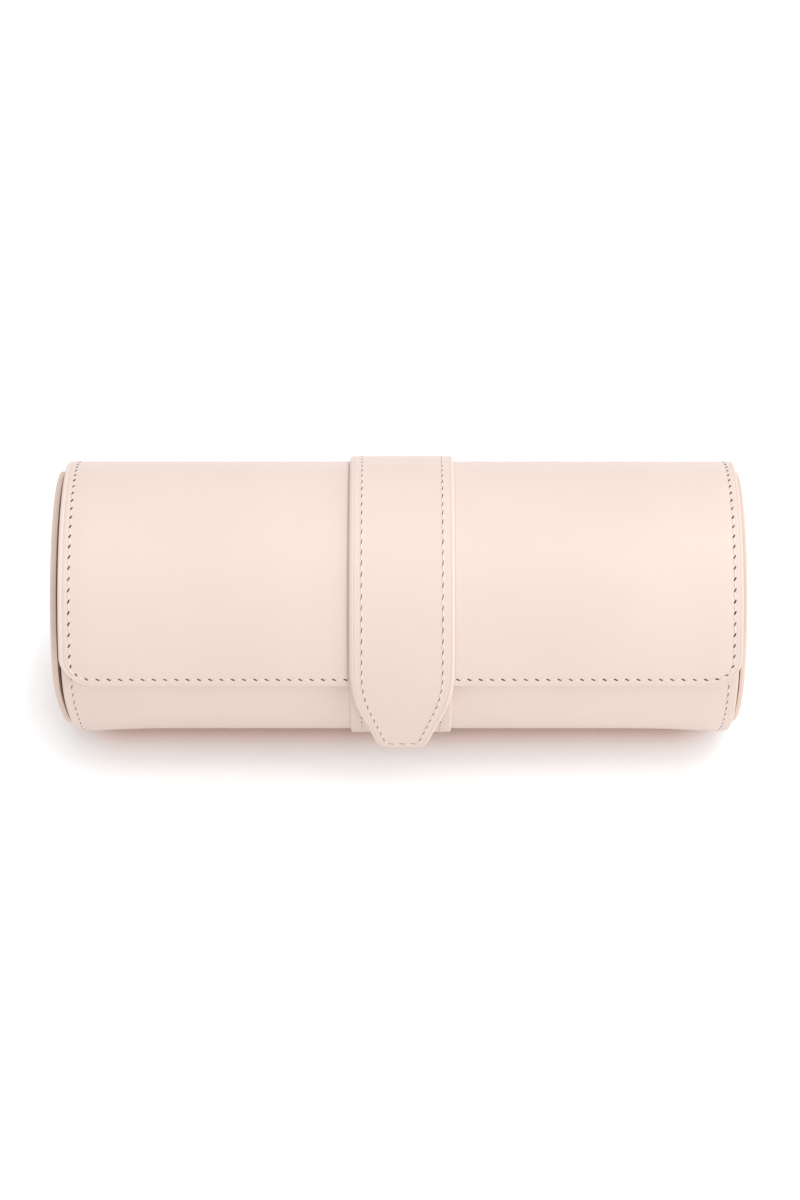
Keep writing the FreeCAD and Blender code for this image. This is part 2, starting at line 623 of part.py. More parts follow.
# Layers of the tub and the patch on its front
wrap = tub_layer("body_wrap", "0", "Sizes.body_leather_thick", WRAP_LENGTH)
board = tub_layer("body_board", BOARD_DEPTH, "Sizes.body_board_thick",
                  f"{WRAP_LENGTH} - 2 * Sizes.body_board_inset")
lining = tub_layer("body_lining", LINING_DEPTH, "Sizes.body_lining_thick", WRAP_LENGTH)
patch = sector_layer("landing_patch", "(Sizes.body_radius + Sizes.glue_line)", PATCH_OUTSIDE,
                     "Sizes.patch_end_angle", "Sizes.patch_top_angle", "Sizes.patch_width")
on_roll_axis(patch)
sub_part(boolean("Cut", "wrap_with_hole", wrap,
                 clasp_pin("wrap_hole", SHANK_HOLE, "0", PLATE_FACE)), "body_wrap")
sub_part(boolean("Cut", "board_with_hole", board,
                 clasp_pin("board_hole", WASHER_HOLE, "0", PLATE_FACE)), "body_board")
sub_part(lining, "body_lining")
sub_part(boolean("Cut", "patch_with_hole", patch,
                 clasp_pin("patch_hole", SHANK_HOLE, "0", PLATE_FACE)), "landing_patch")

# Flap, and the sewn end of the strap on its back
flap_front = flap_outline()
for label, depth, thick in (("flap_leather", "0", "Sizes.flap_leather_thick"),
                            ("flap_board", FLAP_BOARD_DEPTH, "Sizes.flap_board_thick"),
                            ("flap_lining", FLAP_LINING_DEPTH, "Sizes.flap_lining_thick")):
    sub_part(flap_layer(label, flap_front, depth, thick), label)
anchor_front = f"(Sizes.strap_hinge_angle + {HALF_HINGE_GAP})"
anchor = sector_layer("strap_anchor", f"({FLAP_RADIUS} + Sizes.glue_line)", STRAP_OUTSIDE,
                      anchor_front, "Sizes.anchor_end_angle", "Sizes.strap_width")
on_flap_axis(anchor)
sub_part(anchor, "strap_anchor")

# Strap, with the clasp's other half under its tip
outline = strap_outline()
LINING_TOP = f"({STRAP_INSIDE} + Sizes.strap_lining_thick)"
RECESS_FLOOR = f"({LINING_TOP} - Sizes.washer_thick)"
sub_part(boolean("Common", "strap_leather_cut",
                 strap_sweep("strap_leather", STRAP_LEATHER_INSIDE, STRAP_OUTSIDE), outline), "strap_leather")
strap_lining = boolean("Common", "strap_lining_cut",
                       strap_sweep("strap_lining", STRAP_INSIDE, LINING_TOP), outline)
recess = boolean("Fuse", "lining_recess",
                 clasp_pin("lining_hole", SHANK_HOLE, MAGNET_FACE, STRAP_OUTSIDE),
                 clasp_pin("lining_seat", WASHER_HOLE, RECESS_FLOOR, STRAP_OUTSIDE))
sub_part(boolean("Cut", "strap_lining_recessed", strap_lining, recess), "strap_lining")

sub_part(boolean("Fuse", "magnet_with_shank",
                 clasp_pin("magnet_pin", PLATE_RADIUS, MAGNET_FACE, MAGNET_TOP),
                 clasp_pin("magnet_shank", SHANK_RADIUS, MAGNET_FACE, LINING_TOP)), "clasp_magnet")
sub_part(boolean("Cut", "magnet_washer",
                 clasp_pin("magnet_washer_disc", WASHER_RADIUS, RECESS_FLOOR, LINING_TOP),
                 clasp_pin("magnet_washer_hole", SHANK_HOLE, MAGNET_FACE, STRAP_OUTSIDE)),
         "clasp_magnet_washer")

doc.recompute()

for item in doc.Objects:
    if "Invalid" in item.State or "Error" in item.State:
        raise RuntimeError(f"{item.Label} failed: {item.State}")
for piece in sub_parts:
    if piece.Shape.isNull() or not piece.Shape.isValid():
        raise RuntimeError(f"{piece.Label} has no valid shape")

os.makedirs("parts", exist_ok=True)
for piece in sub_parts:
    piece.Shape.exportStep(f"parts/{piece.Label}.step")
    print(f"{piece.Label}: {len(piece.Shape.Solids)} solid(s), {piece.Shape.Volume:.1f} mm3")
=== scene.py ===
# %% [markdown]
# # A leather watch roll, dressed over its measured frame
# The object is a stiff cylinder of blush leather for three watches. A flap wraps over the top,
# a strap with a magnet holds it shut, and round covers close the two ends. The measured solids
# are loaded first, and every piece below takes its place from them, so nothing has to be fitted.

# %% Load the measured frame
import json
import math

import bmesh
import bpy
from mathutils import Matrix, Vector


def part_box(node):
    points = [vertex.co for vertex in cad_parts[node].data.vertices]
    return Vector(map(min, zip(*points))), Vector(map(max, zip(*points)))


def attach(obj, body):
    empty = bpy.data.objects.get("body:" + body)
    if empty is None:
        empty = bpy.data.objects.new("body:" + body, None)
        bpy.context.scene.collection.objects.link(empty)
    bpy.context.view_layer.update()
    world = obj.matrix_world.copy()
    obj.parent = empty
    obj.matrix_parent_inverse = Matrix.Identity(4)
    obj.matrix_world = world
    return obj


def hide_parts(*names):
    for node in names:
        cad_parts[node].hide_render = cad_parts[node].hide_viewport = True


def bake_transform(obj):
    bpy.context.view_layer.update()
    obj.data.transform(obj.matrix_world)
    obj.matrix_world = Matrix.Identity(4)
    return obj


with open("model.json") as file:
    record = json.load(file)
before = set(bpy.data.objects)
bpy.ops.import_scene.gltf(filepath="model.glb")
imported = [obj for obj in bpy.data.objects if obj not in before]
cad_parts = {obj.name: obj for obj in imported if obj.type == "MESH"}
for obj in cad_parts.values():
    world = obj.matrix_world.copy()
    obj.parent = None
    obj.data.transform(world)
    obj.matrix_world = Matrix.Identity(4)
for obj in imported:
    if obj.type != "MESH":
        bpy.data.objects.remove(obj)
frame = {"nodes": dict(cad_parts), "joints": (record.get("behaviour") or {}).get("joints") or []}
scene = bpy.context.scene
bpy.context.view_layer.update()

# %% [markdown]
# ## Where the roll and its folds lie
# The section of the roll is a circle with a flat it rests on. The flap turns about a fold line on
# the back of that circle, and its own circle touches the roll's there, so that it rises evenly
# clear of the front wall. All the radii can be worked out from the flap's fold line and three boxes.
# An angle on the roll is counted from the front, over the top (90) to the back (180).

# %% Radii and centres
MM = 0.001
NEAR = 0.01 * MM
PATCH = 1.2 * MM


def fold_line(joint_name):
    joint = next(j for j in frame["joints"] if j["name"] == joint_name)
    return Vector(joint["pos_m"])


def on_arc(centre, radius, angle):
    return Vector((0, centre.y - radius * math.cos(angle), centre.z + radius * math.sin(angle)))


def angle_of(centre, point):
    return math.atan2(point.z - centre.z, centre.y - point.y)


flap_fold = fold_line("flap_fold")
roll_radius = round(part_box("body_wrap")[1].y, 4)
roll_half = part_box("body_wrap")[1].x
roll_axis = Vector((0, 0, flap_fold.z - math.sqrt(roll_radius ** 2 - flap_fold.y ** 2)))
to_fold = (flap_fold - roll_axis) / roll_radius
flap_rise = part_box("flap_leather")[1].z - roll_axis.z - roll_radius
flap_radius = roll_radius + flap_rise / (1 - to_fold.z)
flap_axis = flap_fold - to_fold * flap_radius
strap_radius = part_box("strap_leather")[1].z - flap_axis.z
patch_radius = roll_radius + PATCH
fold_angle = angle_of(roll_axis, flap_fold)
radii = (roll_radius, flap_radius, strap_radius)
print("radii of roll, flap and strap, mm:", [round(radius / MM, 2) for radius in radii])
print("flap folds at %.1f degrees" % math.degrees(fold_angle))

# %% [markdown]
# ## Camera, floor and light
# The camera comes first. The picture is taken from the
# front at 45 degrees with a long lens, so the roll hardly tapers. The floor is white paper: seen
# directly it gets a little light of its own, so it reads white and still shows the soft shadow.
# Close to the foot of the roll that light is dimmed as a painted shadow, and the paper is painted
# pink there, a painted reflection of the light that the blush leather bounces into its own shadow.
# The lighting is soft: a world that is brighter on the right, and two softboxes for a gentle highlight.

# %% Camera
PHOTO_HEIGHT = 1200
PIXELS_PER_METRE = 3200.0
CAMERA_ELEVATION = math.radians(45)
CAMERA_DISTANCE = 1.13
SENSOR = 36.0
AIM_RIGHT, AIM_DOWN = 1.2, 3.5  # pixels from the middle of the roll

camera_data = bpy.data.cameras.new("photo_camera")
camera = bpy.data.objects.new("photo_camera", camera_data)
scene.collection.objects.link(camera)
camera_data.sensor_fit = "VERTICAL"
camera_data.sensor_height = SENSOR
camera_data.lens = SENSOR * CAMERA_DISTANCE * PIXELS_PER_METRE / PHOTO_HEIGHT
camera_back = Vector((0, -math.cos(CAMERA_ELEVATION), math.sin(CAMERA_ELEVATION)))
camera_up = Vector((0, math.sin(CAMERA_ELEVATION), math.cos(CAMERA_ELEVATION)))
camera_aim = roll_axis + (Vector((AIM_RIGHT, 0, 0)) - camera_up * AIM_DOWN) / PIXELS_PER_METRE
camera.location = camera_aim + camera_back * CAMERA_DISTANCE
camera.rotation_euler = (-camera_back).to_track_quat("-Z", "Y").to_euler()
scene.camera = camera
scene.view_settings.view_transform = "Standard"
print("lens %.1f mm at %.2f m" % (camera_data.lens, CAMERA_DISTANCE))


# %% White paper floor
def link(material, source, output, target, socket):
    material.node_tree.links.new(source.outputs[output], target.inputs[socket])


def node(material, kind, **settings):
    made = material.node_tree.nodes.new(kind)
    for name, value in settings.items():
        setattr(made, name, value)
    return made


def dial(made, values):
    """Sets the sockets of a node, each by its name."""
    for socket, value in values.items():
        made.inputs[socket].default_value = value
    return made


def start_clean():
    if bpy.context.mode != "OBJECT":
        bpy.ops.object.mode_set(mode="OBJECT")
    bpy.ops.object.select_all(action="DESELECT")


FLOOR_SIZE = 6.0
FLOOR_BELOW = 0.2 * MM
FOOT_HALF = 0.085
FOOT_STRETCH = 1.3
# metres from the foot of the roll, then the glow (dimmed near the foot as painted shadow) and the paper
# colour (pink near the foot as painted bounce light) there
GLOW_AND_PAINTED_SHADOW_STOPS = (
    (0.0195, (0.05, 0.0, 0.0)), (0.0245, (0.17, 0.11, 0.09)),
    (0.031, (0.20, 0.195, 0.20)), (0.047, (0.38, 0.40, 0.41)))
PAINTED_PINK_BOUNCE_STOPS = ((0.012, (0.86, 0.74, 0.68)), (0.027, (0.88, 0.88, 0.88)))

start_clean()
bpy.ops.mesh.primitive_plane_add(size=FLOOR_SIZE, location=(0, 0, -FLOOR_BELOW))
floor = bpy.context.object
floor.name = "paper_floor"
paper = bpy.data.materials.new("white_paper")
paper.use_nodes = True
paper.node_tree.nodes.clear()
paper_face = node(paper, "ShaderNodeBsdfDiffuse")
paper_glow = node(paper, "ShaderNodeEmission")
paper_rays = node(paper, "ShaderNodeLightPath")
seen_or_mirrored = node(paper, "ShaderNodeMath", operation="MAXIMUM")
paper_away = node(paper, "ShaderNodeTexCoord")
# Distance from the foot of the roll, which sets the painted shadow in the glow and the painted pink bounce
# light in the paper.
for step, size in (
        ("ABSOLUTE", (0, 0, 0)), ("SUBTRACT", (FOOT_HALF, 0, 0)), ("MAXIMUM", (0, 0, 0)),
        ("MULTIPLY", (FOOT_STRETCH, 1, 1)), ("LENGTH", (0, 0, 0))):
    next_away = node(paper, "ShaderNodeVectorMath", operation=step)
    next_away.inputs[1].default_value = size
    link(paper, paper_away, "Object" if step == "ABSOLUTE" else "Vector", next_away, 0)
    paper_away = next_away
for stops, target in ((GLOW_AND_PAINTED_SHADOW_STOPS, paper_glow), (PAINTED_PINK_BOUNCE_STOPS, paper_face)):
    shades = node(paper, "ShaderNodeValToRGB")
    for place, colour in stops[1:-1]:
        shades.color_ramp.elements.new(place).color = (*colour, 1)
    for index in (0, -1):
        shades.color_ramp.elements[index].position = stops[index][0]
        shades.color_ramp.elements[index].color = (*stops[index][1], 1)
    link(paper, paper_away, "Value", shades, "Fac")
    link(paper, shades, "Color", target, "Color")
paper_sum = node(paper, "ShaderNodeAddShader")
paper_out = node(paper, "ShaderNodeOutputMaterial")
link(paper, paper_rays, "Is Camera Ray", seen_or_mirrored, 0)
link(paper, paper_rays, "Is Glossy Ray", seen_or_mirrored, 1)
link(paper, seen_or_mirrored, 0, paper_glow, "Strength")
link(paper, paper_face, 0, paper_sum, 0)
link(paper, paper_glow, 0, paper_sum, 1)
link(paper, paper_sum, 0, paper_out, "Surface")
floor.data.materials.append(paper)
print("floor:", floor.name)

# %% Studio light
WORLD_LEFT, WORLD_RIGHT = 0.64, 1.02
SOFTBOX_SIZE = 0.6
SOFTBOX_AIM = Vector((0, 0, 0.04))

studio = bpy.data.worlds.new("studio")
scene.world = studio
studio.use_nodes = True
sky = studio.node_tree.nodes["Background"]
sky.inputs["Color"].default_value = (1, 1, 1, 1)
sky_rays = node(studio, "ShaderNodeLightPath")
sky_mirrored = node(studio, "ShaderNodeMath", operation="MAXIMUM")
sky_seen = node(studio, "ShaderNodeMath", operation="MAXIMUM")
sky_level = node(studio, "ShaderNodeMapRange")
sky_way = node(studio, "ShaderNodeTexCoord")
sky_sides = node(studio, "ShaderNodeSeparateXYZ")
side_level = dial(node(studio, "ShaderNodeMapRange"), {
    "From Min": -1.0, "To Min": WORLD_LEFT, "To Max": WORLD_RIGHT})
link(studio, sky_way, "Generated", sky_sides, "Vector")
link(studio, sky_sides, "X", side_level, "Value")
link(studio, side_level, "Result", sky_level, "To Min")
link(studio, sky_rays, "Is Glossy Ray", sky_mirrored, 0)
link(studio, sky_rays, "Is Transmission Ray", sky_mirrored, 1)
link(studio, sky_rays, "Is Camera Ray", sky_seen, 0)
link(studio, sky_mirrored, 0, sky_seen, 1)
link(studio, sky_seen, 0, sky_level, "Value")
link(studio, sky_level, "Result", sky, "Strength")


def hang_lamp(name, place, power):
    lamp_data = bpy.data.lights.new(name, "AREA")
    lamp_data.size = SOFTBOX_SIZE
    lamp_data.energy = power
    lamp = bpy.data.objects.new(name, lamp_data)
    scene.collection.objects.link(lamp)
    lamp.location = place
    lamp.rotation_euler = (SOFTBOX_AIM - Vector(place)).to_track_quat("-Z", "Y").to_euler()


hang_lamp("side_softbox", place=(1.05, -0.45, 0.42), power=2.6)
hang_lamp("top_softbox", place=(0.35, -0.03, 1.15), power=2.95)
print("world from", WORLD_LEFT, "to", WORLD_RIGHT, "and two softboxes, one to the right and one above")

# %% [markdown]
# ## Finishes
# Smooth vegetable-tanned leather is nearly one colour, but not quite: it has cloudy patches from
# the dye, fine pores, and a satin shine that changes a little from place to place. The same three
# layers of noise make all of that. Suede is the other side of a hide, so it has nap instead of
# pores, and a pale sheen where the fibres catch the light.


# %% Colour and shader helpers
def paint(red, green, blue):
    """A colour as it is seen on a screen, turned into the light values that a shader takes."""
    def light(value):
        share = value / 255
        return share / 12.92 if share <= 0.04045 else ((share + 0.055) / 1.055) ** 2.4
    return (light(red), light(green), light(blue), 1)


def new_finish(name):
    finish = bpy.data.materials.new(name)
    finish.use_nodes = True
    return finish, finish.node_tree.nodes["Principled BSDF"], node(finish, "ShaderNodeTexCoord")


def add_noise(finish, place, scale, detail):
    noise = dial(node(finish, "ShaderNodeTexNoise"), {"Scale": scale, "Detail": detail})
    link(finish, place, "Object", noise, "Vector")
    return noise


def add_ramp(finish, source, output, low, high, dark, pale):
    ramp = node(finish, "ShaderNodeValToRGB")
    ramp.color_ramp.elements[0].position = low
    ramp.color_ramp.elements[1].position = high
    ramp.color_ramp.elements[0].color = dark
    ramp.color_ramp.elements[1].color = pale
    link(finish, source, output, ramp, "Fac")
    return ramp


def add_range(finish, source, output, low, high):
    spread = dial(node(finish, "ShaderNodeMapRange"), {"To Min": low, "To Max": high})
    link(finish, source, output, spread, "Value")
    return spread


def add_bump(finish, source, output, strength, height, before=None):
    bump = dial(node(finish, "ShaderNodeBump"), {"Strength": strength, "Distance": height})
    link(finish, source, output, bump, "Height")
    if before:
        link(finish, before, "Normal", bump, "Normal")
    return bump


# %% Leather
def leather_finish(name, dark, pale, shine_low, shine_high):
    finish, shader, place = new_finish(name)
    dye = add_noise(finish, place, scale=22, detail=3)
    colour = add_ramp(finish, dye, "Fac", 0.3, 0.7, dark, pale)
    pores = add_noise(finish, place, scale=1700, detail=2)
    creases = dial(node(finish, "ShaderNodeTexVoronoi", feature="DISTANCE_TO_EDGE"), {"Scale": 900})
    link(finish, place, "Object", creases, "Vector")
    shine = add_range(finish, dye, "Fac", shine_low, shine_high)
    grain = add_bump(finish, creases, "Distance", strength=0.06, height=0.1 * MM)
    grain = add_bump(finish, pores, "Fac", strength=0.10, height=0.06 * MM, before=grain)
    link(finish, colour, "Color", shader, "Base Color")
    link(finish, shine, "Result", shader, "Roughness")
    link(finish, grain, "Normal", shader, "Normal")
    shader.inputs["Specular IOR Level"].default_value = 0.4
    return finish


blush_leather = leather_finish(
    "blush_leather", paint(238, 218, 208), paint(242, 223, 213), shine_low=0.42, shine_high=0.55)
# Edge paint: partly its own colour, and set darker than the face as painted shade along the rims.
edge_paint_and_shade = leather_finish(
    "edge_paint_and_shade", paint(226, 199, 187), paint(232, 207, 195), shine_low=0.35, shine_high=0.45)
raw_edge = leather_finish(
    "raw_edge", paint(237, 213, 198), paint(244, 223, 209), shine_low=0.6, shine_high=0.75)
print("leather finishes:", blush_leather.name, edge_paint_and_shade.name, raw_edge.name)


# %% Suede
def suede_finish(name, dark, pale):
    finish, shader, place = new_finish(name)
    brushing = add_noise(finish, place, scale=60, detail=4)
    colour = add_ramp(finish, brushing, "Fac", 0.35, 0.68, dark, pale)
    nap = add_noise(finish, place, scale=2600, detail=4)
    fibres = add_bump(finish, nap, "Fac", strength=0.35, height=0.15 * MM)
    link(finish, colour, "Color", shader, "Base Color")
    link(finish, fibres, "Normal", shader, "Normal")
    rough = add_range(finish, nap, "Fac", 0.85, 1.0)
    link(finish, rough, "Result", shader, "Roughness")
    dial(shader, {
        "Specular IOR Level": 0.15, "Sheen Weight": 0.35, "Sheen Roughness": 0.5, "Sheen Tint": pale})
    return finish


suede = suede_finish("suede_lining", paint(200, 175, 159), paint(210, 186, 170))
cushion_suede = suede_finish("cushion_suede", paint(206, 181, 165), paint(217, 193, 178))
print("suede finishes:", suede.name, cushion_suede.name)

# %% Thread, needle slits and nickel
thread, thread_shader, thread_place = new_finish("waxed_thread")
strands = add_noise(thread, thread_place, scale=3500, detail=2)
thread_colour = add_ramp(thread, strands, "Fac", 0.3, 0.7, paint(238, 222, 212), paint(248, 237, 229))
twist = add_bump(thread, strands, "Fac", strength=0.3, height=0.05 * MM)
link(thread, thread_colour, "Color", thread_shader, "Base Color")
link(thread, twist, "Normal", thread_shader, "Normal")
thread_shader.inputs["Roughness"].default_value = 0.55

# The needle slit's dark colour is painted shade: a flat dark sheet stands for the shadow inside each slit.
slit_shade_finish, slit_shader, slit_place = new_finish("needle_slit_painted_shade")
slit_shade_noise = add_noise(slit_shade_finish, slit_place, scale=320, detail=1)
slit_shade_colour = add_ramp(slit_shade_finish, slit_shade_noise, "Fac", 0.35, 0.68, paint(48, 29, 24), paint(132, 100, 87))
link(slit_shade_finish, slit_shade_colour, "Color", slit_shader, "Base Color")
dial(slit_shader, {"Roughness": 0.9, "Specular IOR Level": 0.1})

nickel, nickel_shader, nickel_place = new_finish("brushed_nickel")
turned = dial(node(nickel, "ShaderNodeMapping"), {"Scale": (300, 300, 7000)})
link(nickel, nickel_place, "Object", turned, "Vector")
brush = dial(node(nickel, "ShaderNodeTexNoise"), {"Scale": 1.0, "Detail": 3})
link(nickel, turned, "Vector", brush, "Vector")
nickel_colour = add_ramp(nickel, brush, "Fac", 0.3, 0.7, paint(196, 190, 182), paint(224, 219, 212))
nickel_rough = add_range(nickel, brush, "Fac", 0.2, 0.36)
link(nickel, nickel_colour, "Color", nickel_shader, "Base Color")
link(nickel, nickel_rough, "Result", nickel_shader, "Roughness")
nickel_shader.inputs["Metallic"].default_value = 1.0
print("small finishes:", thread.name, slit_shade_finish.name, nickel.name)

# %% [markdown]
# ## How the leather pieces are made
# A leather worker cuts each panel flat, presses and sews it flat, and only then wraps it round the
# former. The same order works here: a plane is shaped in edit mode, thickened, and bent at the end
# with a Simple Deform modifier. The flat lies in X and Z, with its good side towards -Y, and Z is
# the length along the arc, so a row of stitches bent the same way stays exactly on the panel.


# %% Edit-mode habits
def work_on(piece):
    start_clean()
    piece.select_set(True)
    bpy.context.view_layer.objects.active = piece


def join(pieces):
    """Joins the pieces into the first of them."""
    work_on(pieces[0])
    for piece in pieces:
        piece.select_set(True)
    bpy.ops.object.join()
    return pieces[0]


def middle_of(part, kind):
    if kind == "VERT":
        return part.co
    if kind == "EDGE":
        return (part.verts[0].co + part.verts[1].co) / 2
    return part.calc_center_median()


def choose(piece, kind, test):
    """Selects the vertices, edges or faces that pass the test, in edit mode."""
    work_on(piece)
    bpy.ops.object.mode_set(mode="EDIT")
    bpy.ops.mesh.select_mode(type=kind)
    bpy.ops.mesh.select_all(action="DESELECT")
    mesh = bmesh.from_edit_mesh(piece.data)
    parts = {"VERT": mesh.verts, "EDGE": mesh.edges, "FACE": mesh.faces}[kind]
    for part in parts:
        part.select_set(bool(test(middle_of(part, kind), part)))
    bmesh.update_edit_mesh(piece.data)


def everything(middle, part):
    return True


def finish_with(piece, kind, **settings):
    """Adds one modifier with these settings and applies it."""
    work_on(piece)
    modifier = piece.modifiers.new(kind.lower(), kind)
    for name, value in settings.items():
        setattr(modifier, name, value)
    bpy.ops.object.modifier_apply(modifier=modifier.name)


# %% Cut, press and thicken
ROUND, ALONG = (0, 0, 1), (1, 0, 0)


def cut_panel(name, half_width, low, high, depth=0.0):
    start_clean()
    middle = (0, depth, (low + high) / 2)
    bpy.ops.mesh.primitive_plane_add(size=1.0, location=middle, rotation=(math.pi / 2, 0, 0))
    panel = bpy.context.object
    panel.name = name
    panel.scale = (2 * half_width, high - low, 1)
    bpy.ops.object.transform_apply()
    return panel


def round_corners(panel, test, reach):
    choose(panel, "VERT", test)
    bpy.ops.mesh.bevel(offset=reach, segments=8, affect="VERTICES")


def press_line(panel, inset, half_width, depth):
    """Presses a shallow line into the panel's largest face, parallel to that face's edge."""
    start_clean()
    half_area = sum(face.area for face in panel.data.polygons) / 2
    choose(panel, "FACE", lambda middle, face: face.calc_area() > half_area)
    bpy.ops.mesh.inset(thickness=inset - half_width)
    bpy.ops.mesh.inset(thickness=half_width)
    bpy.ops.transform.translate(value=(0, depth, 0))
    bpy.ops.mesh.inset(thickness=half_width)
    bpy.ops.transform.translate(value=(0, -depth, 0))


def score(panel, direction, low, high, count):
    """Cuts the panel into strips, so that it can bend."""
    choose(panel, "FACE", everything)
    for i in range(1, count):
        place = Vector(direction) * (low + (high - low) * i / count)
        bpy.ops.mesh.select_all(action="SELECT")
        bpy.ops.mesh.bisect(plane_co=place, plane_no=direction)


def slice_at(piece, *places):
    """Cuts right through the piece at these places along X."""
    for x in places:
        choose(piece, "FACE", everything)
        bpy.ops.mesh.bisect(plane_co=(x, 0, 0), plane_no=ALONG)


def at_rim(edge):
    """True where a broad face of the panel meets its narrow edge."""
    upright = [abs(face.normal.y) < 0.1 for face in edge.link_faces]
    return any(upright) and not all(upright)


def thicken(panel, thickness, outer_round, inner_round, finishes, steps=4):
    """Gives the panel its thickness and rounds the edges of its good side and of its back."""
    for finish in finishes:
        panel.data.materials.append(finish)
    face_depth = panel.data.vertices[0].co.y
    finish_with(panel, "SOLIDIFY", thickness=thickness, offset=-1.0, material_offset_rim=len(finishes) - 1)
    for near, rounding in ((True, outer_round), (False, inner_round)):
        if rounding:
            half = face_depth + thickness / 2
            choose(panel, "EDGE", lambda middle, edge: (middle.y < half) == near and at_rim(edge))
            bpy.ops.mesh.bevel(offset=rounding, segments=steps, affect="EDGES")


# %% Wrap round the former
def bend(piece, low, high, radius):
    """Bends the stretch from low to high about X, with the flat's zero as the touching point."""
    heights = [vertex.co.z for vertex in piece.data.vertices]
    bottom, top = min(heights), max(heights)
    low, high = max(low, bottom), min(high, top)
    span = top - bottom
    finish_with(
        piece, "SIMPLE_DEFORM", deform_method="BEND", deform_axis="X", angle=(high - low) / radius,
        limits=((low - bottom) / span, (high - bottom) / span),
    )


def lay_on(piece, centre, radius, angle, aside=0.0):
    """Carries the bent piece to its arc: the flat's zero goes to this angle, a little aside along X."""
    work_on(piece)
    piece.location = on_arc(centre, radius, angle) + Vector((aside, 0, 0))
    piece.rotation_euler = (-angle, 0, 0)
    bpy.ops.object.transform_apply()


def flatten(piece, inner, outer, level):
    """Presses the part of one layer that reaches below the level flat onto it."""
    def low_part(middle, vertex):
        out = math.hypot(middle.y - roll_axis.y, middle.z - roll_axis.z)
        return middle.z < level and inner < out < outer
    choose(piece, "VERT", low_part)
    bpy.ops.transform.resize(value=(1, 1, 0), center_override=(0, 0, level))
    bpy.ops.object.mode_set(mode="OBJECT")


def stand_flat(piece, depth, thickness):
    """Gives a layer its flat underside, its inside first, so that neither takes the other's points."""
    split = roll_radius - depth - 0.6 * thickness
    flatten(piece, 0, split, depth + thickness)
    flatten(piece, split, 2 * roll_radius, depth)


def smooth(piece, degrees=35):
    work_on(piece)
    bpy.ops.object.shade_smooth_by_angle(angle=math.radians(degrees))


def hand_over(piece, slot_name, *nodes):
    """Hides the measured solids that the piece stands for, and prints them. Its slot_name is not used."""
    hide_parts(*nodes)
    print(piece.name, len(piece.data.polygons), "faces, stands for", ", ".join(nodes))


# %% [markdown]
# ## How the roll settles
# A leather tub isn't a perfect cylinder. Its stiff end covers carry it, and between them the wall
# draws in a little and lifts off the table, which is why a dark line shows under the middle. Moving
# every layer by hand would never agree, so one lattice round the lower half does it to all of them.
# The ends give way too: their feet lean in, the left one more than the right.

# %% Settling cage
CAGE_TOP = 38 * MM
CAGE_ALONG, CAGE_ACROSS, CAGE_LEVELS = 17, 2, 4
LEVEL_SHARES = (1.0, 0.7)
END_SHARES = (1.0, 0.6)
DRAW_IN = 1.3 * MM
SETTLE_LIFT = 1.2 * MM
LEFT_FOOT_IN = (2.8 * MM, 2.4 * MM, 1.8 * MM, 0)
RIGHT_FOOT_IN = (1.8 * MM, 1.2 * MM, 0.3 * MM, 0)


def make_settling_cage():
    """A lattice over the lower half: its middle goes up and inwards, its ends inwards along the roll."""
    start_clean()
    bpy.ops.object.add(type="LATTICE", location=(0, 0, CAGE_TOP / 2))
    cage = bpy.context.object
    cage.name = "settling_cage"
    cage.scale = (2.14 * roll_half, 2.2 * roll_radius, CAGE_TOP)
    cage.data.points_u, cage.data.points_v, cage.data.points_w = CAGE_ALONG, CAGE_ACROSS, CAGE_LEVELS
    for index, point in enumerate(cage.data.points):
        row, from_left = divmod(index, CAGE_ALONG)
        level, across = divmod(row, CAGE_ACROSS)
        from_right = CAGE_ALONG - 1 - from_left
        if from_left < len(END_SHARES):
            point.co_deform.x += END_SHARES[from_left] * LEFT_FOOT_IN[level] / cage.scale.x
        elif from_right < len(END_SHARES):
            point.co_deform.x -= END_SHARES[from_right] * RIGHT_FOOT_IN[level] / cage.scale.x
        elif level < len(LEVEL_SHARES):
            share = LEVEL_SHARES[level]
            point.co_deform.y += share * DRAW_IN / cage.scale.y * (1 - 2 * across)
            point.co_deform.z += share * SETTLE_LIFT / cage.scale.z
    return cage


settling_cage = make_settling_cage()
print("settling cage:", len(settling_cage.data.points), "points")


def settle(piece):
    finish_with(piece, "LATTICE", object=settling_cage)


# %% [markdown]
# ## Outer leather: flap and back in one
# The flap isn't hinged on: it is the end of the same hide that covers the back of the roll, and it
# folds where the stiffener stops. So it is one panel, with its flat's zero on the fold line. The
# flap half wraps on the flap's larger circle, the back half on the roll's, and the last stretch
# lies flat under the roll. It sits a touch to the right, has a wider margin on the left, and bears
# the line that the edge of the strap presses into it. It blends from the tub to the flap across
# the fold, as leather does.

# %% Flap and back leather
FLAP_EDGE_ANGLE = math.radians(8)
FLAP_CORNER = 9.5 * MM
EDGE_CREASE, CREASE_HALF = 0.95 * MM, 0.2 * MM
STITCH_INSET, CHANNEL_HALF, CHANNEL_DEPTH = 2.6 * MM, 0.7 * MM, 0.12 * MM
LEATHER = 1.7 * MM
OUTER_ROUND, INNER_ROUND = 0.5 * MM, 0.2 * MM
FLAP_ASIDE = 0.9 * MM
LEFT_MARGIN = 0.75 * MM
STRAP_ASIDE = 1.0 * MM
STRAP_NARROWER = 0.45 * MM
STRAP_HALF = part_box("strap_leather")[1].x - STRAP_NARROWER
FOLD_LOW, FOLD_HIGH, FOLD_STRIPS = -8.5 * MM, 4.5 * MM, 13
ALONG_STRIPS = 24
strap_left = STRAP_ASIDE - FLAP_ASIDE - STRAP_HALF
flap_reach = flap_radius * (fold_angle - FLAP_EDGE_ANGLE)
back_reach = roll_radius * (math.radians(270) - fold_angle)


